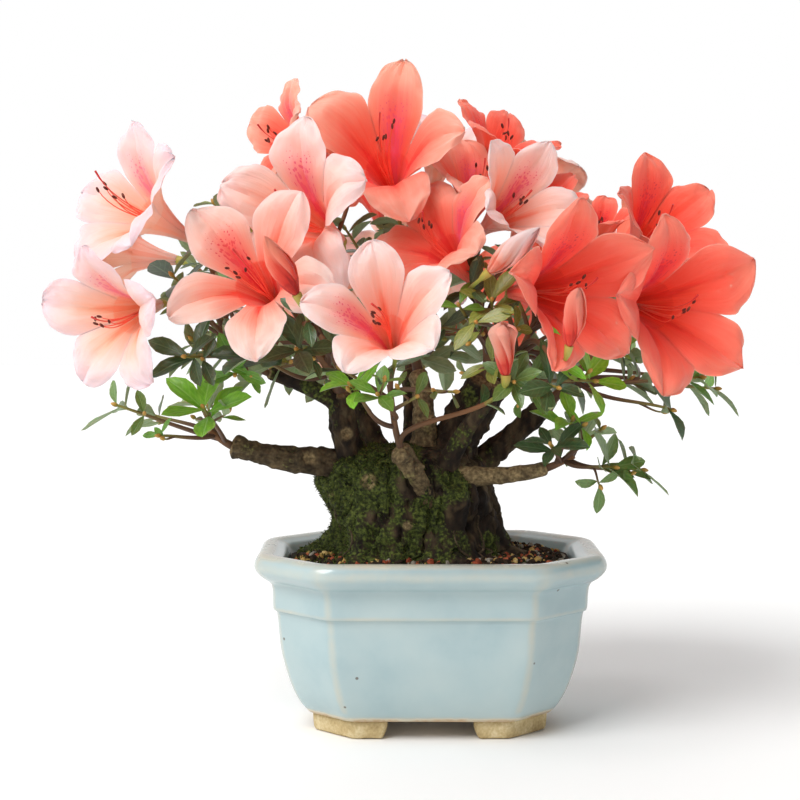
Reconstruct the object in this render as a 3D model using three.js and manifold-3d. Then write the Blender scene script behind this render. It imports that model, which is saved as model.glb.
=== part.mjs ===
// A small azalea bonsai in flower, standing in an eight-sided glazed pot on four clay feet.
// Millimetres, +Z up. Lengths are set out from the pot's middle on the table; the finished group
// is moved so that the origin lies under the middle of the whole object.

import * as THREE from 'three';
import { mergeVertices } from 'three/addons/utils/BufferGeometryUtils.js';
import Module from 'manifold-3d';

const wasm = await Module();
wasm.setup();

// Clearance between neighbouring pieces, and wider between the petals of neighbouring masses, most
// of all past their edges; the grid on which equal corners are merged, and how far a fused surface
// may be simplified
const CLEARANCE = 0.3;
const PETAL_CLEARANCE = 0.6;
const EDGE_MARGIN = 2.5;
const MERGE_GRID = 1e-3;
const SIMPLIFY = 0.1;

// Pot: long octagon, given by its half width at each height; the depth and corner cuts follow
const POT_HALF_WIDTH = 69.5;
const POT_DEPTH_LESS = 18.8;
const POT_CORNER_CUT = 25.5;
const POT_CUT_TAPER = 0.43;
const POT_EDGE_ROUND = 2.2;
const POT_FOOT_HEIGHT = 7.6;
const POT_FLOOR = 7;
const POT_OUTSIDE = [
  [48.6, 7.6], [51.6, 11.4], [54.6, 17.5], [57.2, 25.5], [59.2, 34.5], [60.6, 48.4], [62.1, 50.4],
  [62.5, 57.8], [63.5, 60.8], [66.9, 63], [69.2, 65.8], [69.5, 68.4], [68.3, 71], [66, 72.2],
];
const POT_INSIDE = [[62, 71.4], [57.4, 67], [54.6, 45], [47.5, 20], [42.5, POT_FOOT_HEIGHT + POT_FLOOR]];
const DRAIN_RADIUS = 5;
const DRAIN_SPACING = 44;
const DRAIN_SIDES = 12;
const FOOT_REACH = 15;
const FOOT_INSET = 1.6;
const FOOT_WALL = 8;
const FOOT_BATTER = 0.94;

// Soil: fills the pot, level under the trunk and falling a little to the rim
const SOIL_TOP = 70;
const SOIL_EDGE = 67.2;
const SOIL_LEVEL_HALF_WIDTH = 51;
const SOIL_SIDE_GAP = 0.45;

// Trunk: a short stout stump, given by its middle, half width and half depth at each height
const TRUNK_RINGS = [
  { z: SOIL_TOP + CLEARANCE, x: -5, width: 37, depth: 28.5 },
  { z: 74, x: -5.5, width: 34, depth: 26 },
  { z: 82, x: -7, width: 32.5, depth: 25 },
  { z: 91, x: -8, width: 33, depth: 25 },
  { z: 100, x: -10, width: 34, depth: 25 },
  { z: 107, x: -10, width: 31.5, depth: 23 },
  { z: 112, x: -9, width: 24, depth: 18 },
];
const TRUNK_CROWN = 114.5;
const TRUNK_COLUMNS = 22;
const TRUNK_ROOTS = 6;
const TRUNK_ROOT_TURN = 0.8;
const TRUNK_FLARE = 0.075;
const TRUNK_KNOBS = 0.05;
const TRUNK_KNOB_WAVES = 3;
const TRUNK_KNOB_TWIST = 7;

// Limbs and twigs
const LIMB_SIDES = 8;
const LIMB_STEPS = 5;
const TWIG_SIDES = 3;
const TWIG_STEPS = 3;
const STEM_RADIUS = 1.9;
const TWIG_RADIUS = 1.1;
const TWIG_TIP = 0.62;
const FLOWER_BRANCHING = [0.6, 1];
const SHOOT_BRANCHING = [0.3, 0.9];

// Leaves: pointed ovals set in a whorl round each shoot's tip
const LEAF_LENGTH = [14.4, 20.7];
const LEAF_WIDTH = 0.36;
const LEAF_THICKNESS = 0.9;
const LEAF_WIDEST = 0.56;
const LEAF_ROOT = 0.2;
const LEAF_SPACING = 1.7;
const LEAF_TURN = THREE.MathUtils.degToRad(137.5);
const LEAF_LEAN = [48, 78];
const LEAVES_PER_WHORL = 5;
const WHORL_RISE = new THREE.Vector3(0, 0, 0.5);

// Flowers: a funnel that opens into five lobes; sizes are shares of the lobe's reach
const LOBES = 5;
const LOBE_OUTLINE = [0.45, 0.86, 1.02, 0.86];
const LOBE_ANGLES = [-36, -28, 0, 28];
const TUBE_LENGTH = 0.7;
const TUBE_BASE = 0.075;
const MOUTH_RADIUS = 0.29;
const THROAT_DEPTH = 0.4;
const INNER_FOLD = 0.55;
const PETAL_THICKNESS = 1;
const FLARE_CURVE = 0.3;
const STALK_SINK = 0.12;
const STALK_END = STALK_SINK - TUBE_LENGTH;
const BUD_STALK = 0.2;
const BUD_OUTLINE = [[0, 0], [0.09, 0.06], [0.16, 0.42], [0.11, 0.8], [0, 1]];
const BUD_SIDES = 6;

// Colours of the pieces
const LOOKS = {
  glaze: { color: 0xbcd3da, roughness: 0.18, metalness: 0 },
  clay: { color: 0xc8b583, roughness: 0.85, metalness: 0 },
  soil: { color: 0x4a382b, roughness: 0.95, metalness: 0 },
  bark: { color: 0x5d5240, roughness: 0.9, metalness: 0 },
  leaf: { color: 0x5f8f34, roughness: 0.5, metalness: 0 },
  pink: { color: 0xffc6bd, roughness: 0.55, metalness: 0 },
  coral: { color: 0xff7a5c, roughness: 0.55, metalness: 0 },
};

// Boughs: each starts inside the trunk, or inside the bough it grows from, and ends at its tip
const BOUGHS = [
  { name: 'bough_left_low', radius: [5, 3.3], path: [[-30, -4, 105], [-58, -9, 109], [-79, -12, 114]] },
  { name: 'bough_left_upright', radius: [7.4, 5], path: [[-29, -4, 102], [-34, -7, 120], [-36, -11, 136]] },
  { name: 'bough_left_branch', radius: [3.2, 2.4], path: [[-36, -10, 131], [-52, -12, 139], [-64, -16, 143]] },
  { name: 'bough_centre', radius: [5, 3.6], path: [[-4, -2, 104], [-2, -2, 124], [-5, 0, 144]] },
  { name: 'bough_front_stub', radius: [5.6, 4], path: [[-3, -20, 92], [-6, -28, 102], [-12, -35, 116]] },
  { name: 'bough_right_upright', radius: [10.5, 6.8], path: [[6, 2, 104], [15, 0, 124], [24, -6, 141]] },
  { name: 'bough_right_inner', radius: [3.6, 2.6], path: [[6, -16, 107], [15, -22, 123], [26, -27, 137]] },
  { name: 'bough_right_back', radius: [5.8, 4], path: [[16, 6, 101], [33, 7, 116], [48, 2, 130]] },
  { name: 'bough_right_low', radius: [3.6, 2.7], path: [[10, -14, 102], [30, -17, 103], [46, -19, 106]] },
  { name: 'bough_back_left', radius: [5, 3.4], path: [[-18, 10, 104], [-27, 18, 122], [-36, 27, 141]] },
  { name: 'bough_back_centre', radius: [5.4, 3.6], path: [[-8, 14, 103], [-6, 22, 122], [-8, 33, 142]] },
  { name: 'bough_back_right', radius: [5.2, 3.6], path: [[8, 14, 102], [20, 21, 121], [34, 30, 140]] },
];

// Masses of blossom and foliage: each grows on one stem from its bough's tip to a hub, where it
// branches to its flowers, buds and leafy shoots. A flower is placed by the middle of its mouth;
// facing turns from the front to the right, lift is upward, roll turns the upper lobe clockwise.
const MASSES = [
  {
    name: 'foliage_left_low', bough: 'bough_left_low', look: 'leaf', hub: [-87, -15, 120], seed: 11,
    flowers: [],
    buds: [],
    shoots: [
      [-95, -28, 135], [-92, -12, 132], [-122, -24, 131], [-110, -8, 126], [-104, -34, 120], [-90, 8, 128],
    ],
  },
  {
    name: 'blossom_left', bough: 'bough_left_branch', look: 'pink', hub: [-76, -24, 155], seed: 23,
    flowers: [
      { at: [-106, -44, 205], facing: -42, lift: 30, roll: 22, reach: 26, cup: 0.7 },
      { at: [-113, -58, 170], facing: -32, lift: -4, roll: -25, reach: 27, cup: 0.5 },
      { at: [-110, 4, 182], facing: -100, lift: 8, roll: 10, reach: 26, cup: 0.5 },
    ],
    buds: [],
    shoots: [[-98, -38, 181], [-92, -50, 151], [-88, -8, 174], [-74, -44, 144], [-95, -12, 150]],
  },
  {
    name: 'blossom_left_front', bough: 'bough_left_upright', look: 'pink', hub: [-47, -24, 156], seed: 37,
    flowers: [
      { at: [-61, -62, 182], facing: -9, lift: -7, roll: -40, reach: 32, cup: 0.5 },
      { at: [-44, -43, 205], facing: -15, lift: 30, roll: -3, reach: 27, cup: 0.7 },
      { at: [-66, 12, 232], facing: -105, lift: 42, roll: 20, reach: 27, cup: 0.6 },
    ],
    buds: [
      { base: [-48, -88, 174], tip: [-59, -94, 195], reach: 24 },
      { base: [-71, -14, 199], tip: [-81, -18, 211], reach: 15 },
    ],
    shoots: [[-68, -52, 152], [-50, -58, 154], [-32, -50, 158], [-62, -20, 146], [-84, -18, 209]],
  },
  {
    name: 'blossom_top', bough: 'bough_centre', look: 'coral', hub: [-9, 0, 174], seed: 41,
    flowers: [
      { at: [-14, -10, 222], facing: -23, lift: 44, roll: 9, reach: 35, cup: 0.8 },
      { at: [4, 42, 228], facing: 30, lift: 66, roll: 0, reach: 22, cup: 0.7 },
      { at: [26, 16, 229], facing: 55, lift: 56, roll: -20, reach: 22, cup: 0.7 },
    ],
    buds: [],
    shoots: [[-24, 4, 180], [4, 12, 176], [-14, 22, 184]],
  },
  {
    name: 'blossom_front', bough: 'bough_front_stub', look: 'pink', hub: [-16, -44, 140], seed: 53,
    flowers: [
      { at: [-11, -84, 162], facing: -27, lift: 35, roll: -20, reach: 28, cup: 0.78 },
    ],
    buds: [
      { base: [27, -60, 144], tip: [25, -62, 164], reach: 20 },
    ],
    shoots: [[-30, -62, 141], [-20, -70, 138], [-6, -66, 137], [-34, -44, 146], [8, -52, 138]],
  },
  {
    name: 'blossom_centre', bough: 'bough_right_upright', look: 'coral', hub: [20, -14, 165], seed: 67,
    flowers: [
      { at: [5, -35, 191], facing: -45, lift: 38, roll: 35, reach: 26, cup: 0.5 },
      { at: [28, -39, 201], facing: 40, lift: 36, roll: -32, reach: 24, cup: 0.8 },
      { at: [17, -8, 211], facing: 30, lift: 60, roll: 10, reach: 22, cup: 0.75 },
      { at: [43, 19, 208], facing: 30, lift: 58, roll: 0, reach: 17, cup: 0.9 },
    ],
    buds: [
      { base: [20, -62, 182], tip: [38, -67, 198], reach: 25 },
    ],
    shoots: [[22, -54, 172], [10, -50, 170], [2, -34, 162], [16, -58, 164]],
  },
  {
    name: 'blossom_right_front', bough: 'bough_right_inner', look: 'coral', hub: [33, -32, 151], seed: 71,
    flowers: [
      { at: [41, -67, 174], facing: 36, lift: 4, roll: -7, reach: 34, cup: 0.54 },
    ],
    buds: [
      { base: [47, -92, 156], tip: [50, -98, 177], reach: 22 },
    ],
    shoots: [[30, -58, 142], [46, -60, 140], [60, -52, 142], [38, -44, 138], [22, -46, 148]],
  },
  {
    name: 'blossom_far_right', bough: 'bough_right_back', look: 'coral', hub: [66, -6, 151], seed: 83,
    flowers: [
      { at: [81, -37, 172], facing: 38, lift: -4, roll: -12, reach: 33, cup: 0.6 },
      { at: [83, -5, 196], facing: 22, lift: 58, roll: 4, reach: 28, cup: 0.8 },
      { at: [68, 13, 196], facing: 0, lift: 66, roll: 20, reach: 15, cup: 1 },
      { at: [98, 22, 172], facing: 95, lift: 8, roll: 0, reach: 26, cup: 0.5 },
    ],
    buds: [],
    shoots: [[104, -28, 142], [112, -16, 137], [92, -34, 130], [84, -6, 138], [102, 8, 140]],
  },
  {
    name: 'foliage_right_low', bough: 'bough_right_low', look: 'leaf', hub: [56, -22, 111], seed: 97,
    flowers: [],
    buds: [],
    shoots: [[54, -34, 126], [66, -28, 122], [46, -38, 116], [70, -36, 108], [82, -26, 106], [60, -8, 118]],
  },
  {
    name: 'blossom_back_left', bough: 'bough_back_left', look: 'pink', hub: [-48, 38, 160], seed: 101,
    flowers: [
      { at: [-80, 44, 196], facing: -125, lift: 18, roll: 0, reach: 28, cup: 0.55 },
      { at: [-55, 68, 174], facing: -160, lift: 4, roll: -20, reach: 29, cup: 0.5 },
    ],
    buds: [
      { base: [-72, 44, 156], tip: [-86, 54, 170], reach: 22 },
    ],
    shoots: [[-74, 36, 140], [-60, 62, 144], [-40, 66, 146], [-92, 24, 150], [-44, 50, 136]],
  },
  {
    name: 'blossom_back_centre', bough: 'bough_back_centre', look: 'pink', hub: [-8, 44, 166], seed: 113,
    flowers: [
      { at: [-8, 82, 188], facing: 178, lift: 10, roll: 15, reach: 30, cup: 0.5 },
      { at: [-24, 52, 218], facing: -165, lift: 48, roll: 0, reach: 27, cup: 0.65 },
    ],
    buds: [
      { base: [8, 66, 154], tip: [14, 82, 164], reach: 20 },
    ],
    shoots: [[-20, 72, 150], [8, 74, 146], [-2, 60, 142], [-30, 52, 154], [14, 52, 156]],
  },
  {
    name: 'blossom_back_right', bough: 'bough_back_right', look: 'coral', hub: [44, 40, 160], seed: 127,
    flowers: [
      { at: [46, 74, 176], facing: 158, lift: 4, roll: 0, reach: 30, cup: 0.5 },
      { at: [84, 56, 188], facing: 125, lift: 22, roll: -15, reach: 27, cup: 0.6 },
      { at: [42, 48, 210], facing: 150, lift: 50, roll: 10, reach: 26, cup: 0.65 },
    ],
    buds: [],
    shoots: [[66, 58, 142], [48, 64, 140], [84, 36, 146], [60, 30, 138], [30, 62, 148]],
  },
];

const vec = ([x, y, z]) => new THREE.Vector3(x, y, z);

/** A repeatable stream of numbers from 0 to 1. */
function seededStream(seed) {
  let state = seed >>> 0;
  return () => {
    state = (state + 0x6d2b79f5) >>> 0;
    let mixed = Math.imul(state ^ (state >>> 15), 1 | state);
    mixed = (mixed + Math.imul(mixed ^ (mixed >>> 7), 61 | mixed)) ^ mixed;
    return ((mixed ^ (mixed >>> 14)) >>> 0) / 4294967296;
  };
}

/** Turns a closed geometry into a solid: equal corners merged, empty faces dropped, faces outward. */
function solidOf(geometry) {
  const bare = geometry.clone();
  bare.deleteAttribute('normal');
  bare.deleteAttribute('uv');
  const merged = mergeVertices(bare, MERGE_GRID);
  const place = merged.attributes.position;
  const index = merged.index.array;
  const corner = [new THREE.Vector3(), new THREE.Vector3(), new THREE.Vector3()];
  const faces = [];
  let volume = 0;
  for (let i = 0; i < index.length; i += 3) {
    const [a, b, c] = [index[i], index[i + 1], index[i + 2]];
    if (a === b || b === c || c === a) continue;
    faces.push([a, b, c]);
    corner.forEach((point, k) => point.fromBufferAttribute(place, index[i + k]));
    volume += corner[0].dot(corner[1].clone().cross(corner[2]));
  }
  const ordered = volume < 0 ? faces.map(([a, b, c]) => [a, c, b]) : faces;
  return new wasm.Manifold(new wasm.Mesh({
    numProp: 3,
    vertProperties: new Float32Array(place.array),
    triVerts: new Uint32Array(ordered.flat()),
  }));
}

/** The bare triangles of a solid. */
function geometryOf(solid) {
  const { vertProperties, triVerts } = solid.getMesh();
  const geometry = new THREE.BufferGeometry();
  geometry.setAttribute('position', new THREE.BufferAttribute(new Float32Array(vertProperties), 3));
  geometry.setIndex(new THREE.BufferAttribute(new Uint32Array(triVerts), 1));
  return geometry;
}

/** The largest body of a solid, with any scrap and any hollow sealed inside it left out. */
function mainBody(solid) {
  const bodies = solidOf(geometryOf(solid.simplify(SIMPLIFY))).decompose();
  return bodies.reduce((best, body) => (body.volume() > best.volume() ? body : best));
}

/** A named mesh of a solid in one of the looks. */
function meshOf(name, solid, look) {
  const geometry = geometryOf(solid);
  geometry.computeVertexNormals();
  const mesh = new THREE.Mesh(geometry, new THREE.MeshStandardMaterial(LOOKS[look]));
  mesh.name = name;
  return mesh;
}

const join = (solids) => solids.reduce((whole, solid) => whole.add(solid));
const cut = (solid, cutters) => cutters.reduce((rest, cutter) => rest.subtract(cutter), solid);

/** The pot's outline at one half width: sixteen points, two at each slightly rounded corner. */
function potOutline(halfWidth) {
  const halfDepth = halfWidth - POT_DEPTH_LESS;
  const corner = POT_CORNER_CUT - POT_CUT_TAPER * (POT_HALF_WIDTH - halfWidth);
  const corners = [];
  for (const [sx, sy] of [[1, 1], [-1, 1], [-1, -1], [1, -1]]) {
    const onSide = new THREE.Vector2(sx * halfWidth, sy * (halfDepth - corner));
    const onFront = new THREE.Vector2(sx * (halfWidth - corner), sy * halfDepth);
    corners.push(...(sx * sy > 0 ? [onSide, onFront] : [onFront, onSide]));
  }
  return corners.flatMap((point, i) => {
    const before = corners[(i + corners.length - 1) % corners.length];
    const after = corners[(i + 1) % corners.length];
    const toward = (other) => point.clone().add(other.clone().sub(point).setLength(POT_EDGE_ROUND));
    return [toward(before), toward(after)];
  });
}

/** Turns a profile of half widths and heights round the pot's outline; a half width of 0 closes it. */
function octagonTurned(profile) {
  const columns = potOutline(POT_HALF_WIDTH).length;
  const rows = profile.map(([halfWidth, z]) => new THREE.Vector2(halfWidth, z));
  const lathe = new THREE.LatheGeometry(rows, columns);
  const place = lathe.attributes.position;
  rows.forEach((row, j) => {
    const outline = row.x > 0 ? potOutline(row.x) : Array(columns).fill(new THREE.Vector2());
    for (let i = 0; i <= columns; i += 1) {
      const point = outline[i % columns];
      place.setXYZ(i * rows.length + j, point.x, point.y, row.y);
    }
  });
  return solidOf(lathe);
}

function potBody() {
  const floorTop = POT_FOOT_HEIGHT + POT_FLOOR;
  const shell = octagonTurned([[0, POT_FOOT_HEIGHT], ...POT_OUTSIDE, ...POT_INSIDE, [0, floorTop]]);
  const drains = [-0.5, 0.5].map((side) => {
    const drain = new THREE.CylinderGeometry(DRAIN_RADIUS, DRAIN_RADIUS, 3 * POT_FLOOR, DRAIN_SIDES);
    drain.rotateX(Math.PI / 2);
    drain.translate(side * DRAIN_SPACING, 0, floorTop);
    return solidOf(drain);
  });
  return cut(shell, drains);
}

/** One foot: a bracket that follows a cut corner of the pot's underside, narrower at the table. */
function potFoot(sx, sy) {
  const halfWidth = POT_OUTSIDE[0][0] - FOOT_INSET;
  const halfDepth = halfWidth - POT_DEPTH_LESS;
  const corner = POT_CORNER_CUT - POT_CUT_TAPER * (POT_HALF_WIDTH - halfWidth);
  const slant = FOOT_WALL * (Math.SQRT2 - 1);
  const outline = [
    [halfWidth - corner - FOOT_REACH, halfDepth],
    [halfWidth - corner, halfDepth],
    [halfWidth, halfDepth - corner],
    [halfWidth, halfDepth - corner - FOOT_REACH / 2],
    [halfWidth - FOOT_WALL, halfDepth - corner - FOOT_REACH / 2],
    [halfWidth - FOOT_WALL, halfDepth - corner - slant],
    [halfWidth - corner - slant, halfDepth - FOOT_WALL],
    [halfWidth - corner - FOOT_REACH, halfDepth - FOOT_WALL],
  ];
  const plan = new THREE.Shape(outline.map(([x, y]) => new THREE.Vector2(sx * x, sy * y)));
  const foot = new THREE.ExtrudeGeometry(plan, { depth: POT_FOOT_HEIGHT, bevelEnabled: false });
  const middle = new THREE.Vector2(sx * (halfWidth - corner / 2), sy * (halfDepth - corner / 2));
  const place = foot.attributes.position;
  for (let i = 0; i < place.count; i += 1) {
    const share = place.getZ(i) > 0 ? 1 : FOOT_BATTER;
    const x = middle.x + (place.getX(i) - middle.x) * share;
    const y = middle.y + (place.getY(i) - middle.y) * share;
    place.setXYZ(i, x, y, place.getZ(i));
  }
  return solidOf(foot);
}

function soil() {
  const wall = POT_INSIDE.slice(1).map(([halfWidth, z]) => [halfWidth - SOIL_SIDE_GAP, z + CLEARANCE]);
  const bottom = wall[wall.length - 1][1];
  const sides = wall.reverse().map(([halfWidth, z]) => [halfWidth, Math.min(z, SOIL_EDGE)]);
  return octagonTurned([[0, bottom], ...sides, [SOIL_LEVEL_HALF_WIDTH, SOIL_TOP], [0, SOIL_TOP]]);
}

/** The trunk: rings from the soil to the fork, with root flare at the foot and knobs higher up. */
function trunk(grow = 0) {
  const rings = [
    { ...TRUNK_RINGS[0], width: 0, depth: 0 },
    ...TRUNK_RINGS,
    { ...TRUNK_RINGS[TRUNK_RINGS.length - 1], z: TRUNK_CROWN, width: 0, depth: 0 },
  ];
  const profile = rings.map((ring) => new THREE.Vector2(ring.width, ring.z));
  const lathe = new THREE.LatheGeometry(profile, TRUNK_COLUMNS);
  const place = lathe.attributes.position;
  const height = TRUNK_CROWN - SOIL_TOP;
  rings.forEach((ring, j) => {
    const rise = (ring.z - SOIL_TOP) / height;
    for (let i = 0; i <= TRUNK_COLUMNS; i += 1) {
      const angle = (2 * Math.PI * (i % TRUNK_COLUMNS)) / TRUNK_COLUMNS;
      const flare = TRUNK_FLARE * (1 - rise) ** 2 * Math.cos(TRUNK_ROOTS * angle + TRUNK_ROOT_TURN);
      const wave = Math.sin(TRUNK_KNOB_WAVES * angle + TRUNK_KNOB_TWIST * rise);
      const swell = 1 + flare + TRUNK_KNOBS * wave * Math.sin(Math.PI * rise);
      const out = ring.width > 0 ? grow : 0;
      const lift = j === rings.length - 1 ? grow : 0;
      place.setXYZ(
        i * rings.length + j,
        ring.x + Math.cos(angle) * (ring.width * swell + out),
        Math.sin(angle) * (ring.depth * swell + out),
        ring.z + lift,
      );
    }
  });
  return solidOf(lathe);
}

/** A round limb carried along a curve, tapering from its first radius to its last. */
function limb(curve, radii, sides, steps, grow = 0) {
  const rod = new THREE.CylinderGeometry(1, 1, 1, sides, steps);
  const frames = curve.computeFrenetFrames(steps);
  const place = rod.attributes.position;
  const point = new THREE.Vector3();
  for (let i = 0; i < place.count; i += 1) {
    const share = place.getY(i) + 0.5;
    const step = Math.round(share * steps);
    const radius = THREE.MathUtils.lerp(radii[0], radii[1], share) + grow;
    curve.getPointAt(share, point);
    const end = share === 0 ? -grow : share === 1 ? grow : 0;
    point.addScaledVector(frames.tangents[step], end);
    point.addScaledVector(frames.normals[step], place.getX(i) * radius);
    point.addScaledVector(frames.binormals[step], place.getZ(i) * radius);
    place.setXYZ(i, point.x, point.y, point.z);
  }
  return solidOf(rod);
}

const boughCurve = (bough) => new THREE.CatmullRomCurve3(bough.path.map(vec));
const boughSolid = (bough, grow = 0) => limb(boughCurve(bough), bough.radius, LIMB_SIDES, LIMB_STEPS, grow);

/** A twig that leaves one point in a direction and comes into another along its own direction. */
function twigCurve(from, leave, to, arrive) {
  const bend = from.distanceTo(to) / 3;
  const first = from.clone().addScaledVector(leave, bend);
  const second = to.clone().addScaledVector(arrive, -bend);
  return new THREE.CubicBezierCurve3(from, first, second, to);
}

const twig = (curve, radii, grow = 0) => limb(curve, radii, TWIG_SIDES, TWIG_STEPS, grow);

/** The directions of a flower: along its axis, to its upper lobe, and to the side of that. */
function flowerFrame({ facing, lift, roll }) {
  const turn = THREE.MathUtils.degToRad(facing);
  const rise = THREE.MathUtils.degToRad(lift);
  const level = Math.cos(rise);
  const axis = new THREE.Vector3(Math.sin(turn) * level, -Math.cos(turn) * level, Math.sin(rise));
  const up = new THREE.Vector3(0, 0, 1).addScaledVector(axis, -axis.z).normalize();
  const side = up.clone().cross(axis);
  const angle = THREE.MathUtils.degToRad(roll);
  return {
    axis,
    up: up.clone().multiplyScalar(Math.cos(angle)).addScaledVector(side, Math.sin(angle)),
    side: side.multiplyScalar(Math.cos(angle)).addScaledVector(up, -Math.sin(angle)),
  };
}

/** One flower's corolla: a closed thin funnel turned about its axis, its edge cut into five lobes. */
function corolla(flower, grow = 0) {
  const { axis, up, side } = flowerFrame(flower);
  const skin = PETAL_THICKNESS / 2 + grow;
  const rows = [
    { radius: 0, blade: 0, rise: -TUBE_LENGTH, skin: -grow, out: 0 },
    { radius: TUBE_BASE, blade: 0, rise: -TUBE_LENGTH, skin: -grow, out: grow },
    { radius: MOUTH_RADIUS, blade: 0, rise: 0, skin: -skin, out: grow },
    { radius: MOUTH_RADIUS, blade: 1, rise: 0, skin: 0, out: EDGE_MARGIN * grow },
    { radius: MOUTH_RADIUS, blade: INNER_FOLD, rise: 0, skin, out: -grow },
    { radius: MOUTH_RADIUS, blade: 0, rise: 0, skin, out: -grow },
    { radius: 0, blade: 0, rise: -THROAT_DEPTH, skin, out: 0 },
  ];
  const columns = LOBES * LOBE_OUTLINE.length;
  const profile = rows.map((row) => new THREE.Vector2(row.radius, row.rise));
  const lathe = new THREE.LatheGeometry(profile, columns);
  const place = lathe.attributes.position;
  const middle = vec(flower.at);
  for (let i = 0; i <= columns; i += 1) {
    const column = i % columns;
    const lobe = Math.floor(column / LOBE_OUTLINE.length);
    const within = column % LOBE_OUTLINE.length;
    rows.forEach((row, j) => {
      const spread = row.radius === TUBE_BASE ? 0 : LOBE_ANGLES[within];
      const angle = THREE.MathUtils.degToRad((360 / LOBES) * lobe + spread);
      const outward = up.clone().multiplyScalar(Math.cos(angle)).addScaledVector(side, Math.sin(angle));
      const share = row.radius + row.blade * (LOBE_OUTLINE[within] - row.radius);
      const radius = share + row.out / flower.reach;
      const open = Math.max(0, (radius - MOUTH_RADIUS) / (1 - MOUTH_RADIUS));
      const flare = flower.cup * open * (1 + FLARE_CURVE - FLARE_CURVE * open);
      const point = middle.clone()
        .addScaledVector(outward, radius * flower.reach)
        .addScaledVector(axis, (row.rise + flare) * flower.reach + row.skin);
      place.setXYZ(i * rows.length + j, point.x, point.y, point.z);
    });
  }
  return solidOf(lathe);
}

/** A closed bud: a pointed spindle from its base to its tip. */
function bud({ base, tip, reach }, grow = 0) {
  const rows = BUD_OUTLINE.map(([radius, rise]) => new THREE.Vector2(
    radius * reach + (radius > 0 ? grow : 0),
    rise * reach,
  ));
  const lathe = new THREE.LatheGeometry(rows, BUD_SIDES);
  const along = vec(tip).sub(vec(base)).normalize();
  lathe.applyQuaternion(new THREE.Quaternion().setFromUnitVectors(new THREE.Vector3(0, 1, 0), along));
  lathe.translate(...base);
  return solidOf(lathe);
}

/** A leaf: a four-faced blade, pointed at both ends and ridged along its midrib, its root sunk in. */
function leaf(root, along, face, length) {
  const blade = new THREE.TetrahedronGeometry(1, 0);
  const place = blade.attributes.position;
  const side = face.clone().cross(along).normalize();
  const upper = along.clone().cross(side).normalize();
  for (let i = 0; i < place.count; i += 1) {
    const onMidrib = place.getZ(i) > 0;
    const end = place.getX(i) > 0 ? 1 : 0;
    const point = root.clone()
      .addScaledVector(along, (onMidrib ? end : LEAF_WIDEST) * length - LEAF_ROOT)
      .addScaledVector(side, onMidrib ? 0 : (end - 0.5) * LEAF_WIDTH * length)
      .addScaledVector(upper, onMidrib ? 0 : -LEAF_THICKNESS);
    place.setXYZ(i, point.x, point.y, point.z);
  }
  return solidOf(blade);
}

/** A whorl of leaves: set close together up the end of a shoot, each turned on from the one below. */
function whorl(shoot, random) {
  const start = random() * 2 * Math.PI;
  const reach = shoot.getLength();
  const leaves = [];
  for (let k = 0; k < LEAVES_PER_WHORL; k += 1) {
    const share = 1 - (k + 0.5) * (LEAF_SPACING / reach);
    const along = shoot.getTangentAt(share).add(WHORL_RISE).normalize();
    const across = new THREE.Vector3(along.z, along.x, along.y).cross(along).normalize();
    const beside = along.clone().cross(across);
    const turn = start + k * LEAF_TURN;
    const lean = THREE.MathUtils.degToRad(THREE.MathUtils.lerp(...LEAF_LEAN, random()));
    const out = across.multiplyScalar(Math.cos(turn)).addScaledVector(beside, Math.sin(turn));
    const blade = along.clone().multiplyScalar(Math.cos(lean)).addScaledVector(out, Math.sin(lean));
    const face = along.clone().addScaledVector(blade, -along.dot(blade)).normalize();
    leaves.push(leaf(shoot.getPointAt(share), blade, face, THREE.MathUtils.lerp(...LEAF_LENGTH, random())));
  }
  return leaves;
}

/** The stem of a mass, from just clear of its bough's tip to its hub. */
function stemCurve(mass, bough) {
  const curve = boughCurve(bough);
  const onward = curve.getTangentAt(1);
  const start = curve.getPointAt(1).addScaledVector(onward, CLEARANCE);
  const hub = vec(mass.hub);
  return twigCurve(start, onward, hub, hub.clone().sub(start).normalize());
}

/** The places up a stem where its twigs leave it, one above another to the hub. */
function branchPoints(stem, count, [low, high]) {
  return Array.from({ length: count }, (_, k) => {
    const share = low + ((high - low) * (k + 1)) / count;
    return { point: stem.getPointAt(share), along: stem.getTangentAt(share) };
  });
}

/** The stem, flower stalks and buds of a mass: what holds it together. */
function framework(mass, bough, grow = 0) {
  const stem = stemCurve(mass, bough);
  const pieces = [twig(stem, [Math.min(STEM_RADIUS, bough.radius[1]), TWIG_RADIUS], grow)];
  const ends = [
    ...mass.flowers.map((flower) => {
      const { axis } = flowerFrame(flower);
      return { seat: vec(flower.at).addScaledVector(axis, STALK_END * flower.reach), axis };
    }),
    ...mass.buds.map((closed) => {
      const axis = vec(closed.tip).sub(vec(closed.base)).normalize();
      pieces.push(bud(closed, grow));
      return { seat: vec(closed.base).addScaledVector(axis, BUD_STALK * closed.reach), axis };
    }),
  ];
  const branches = branchPoints(stem, ends.length, FLOWER_BRANCHING);
  ends.forEach(({ seat, axis }, k) => {
    const { point, along } = branches[k];
    pieces.push(twig(twigCurve(point, along, seat, axis), [TWIG_RADIUS, TWIG_RADIUS], grow));
  });
  return pieces;
}

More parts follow.
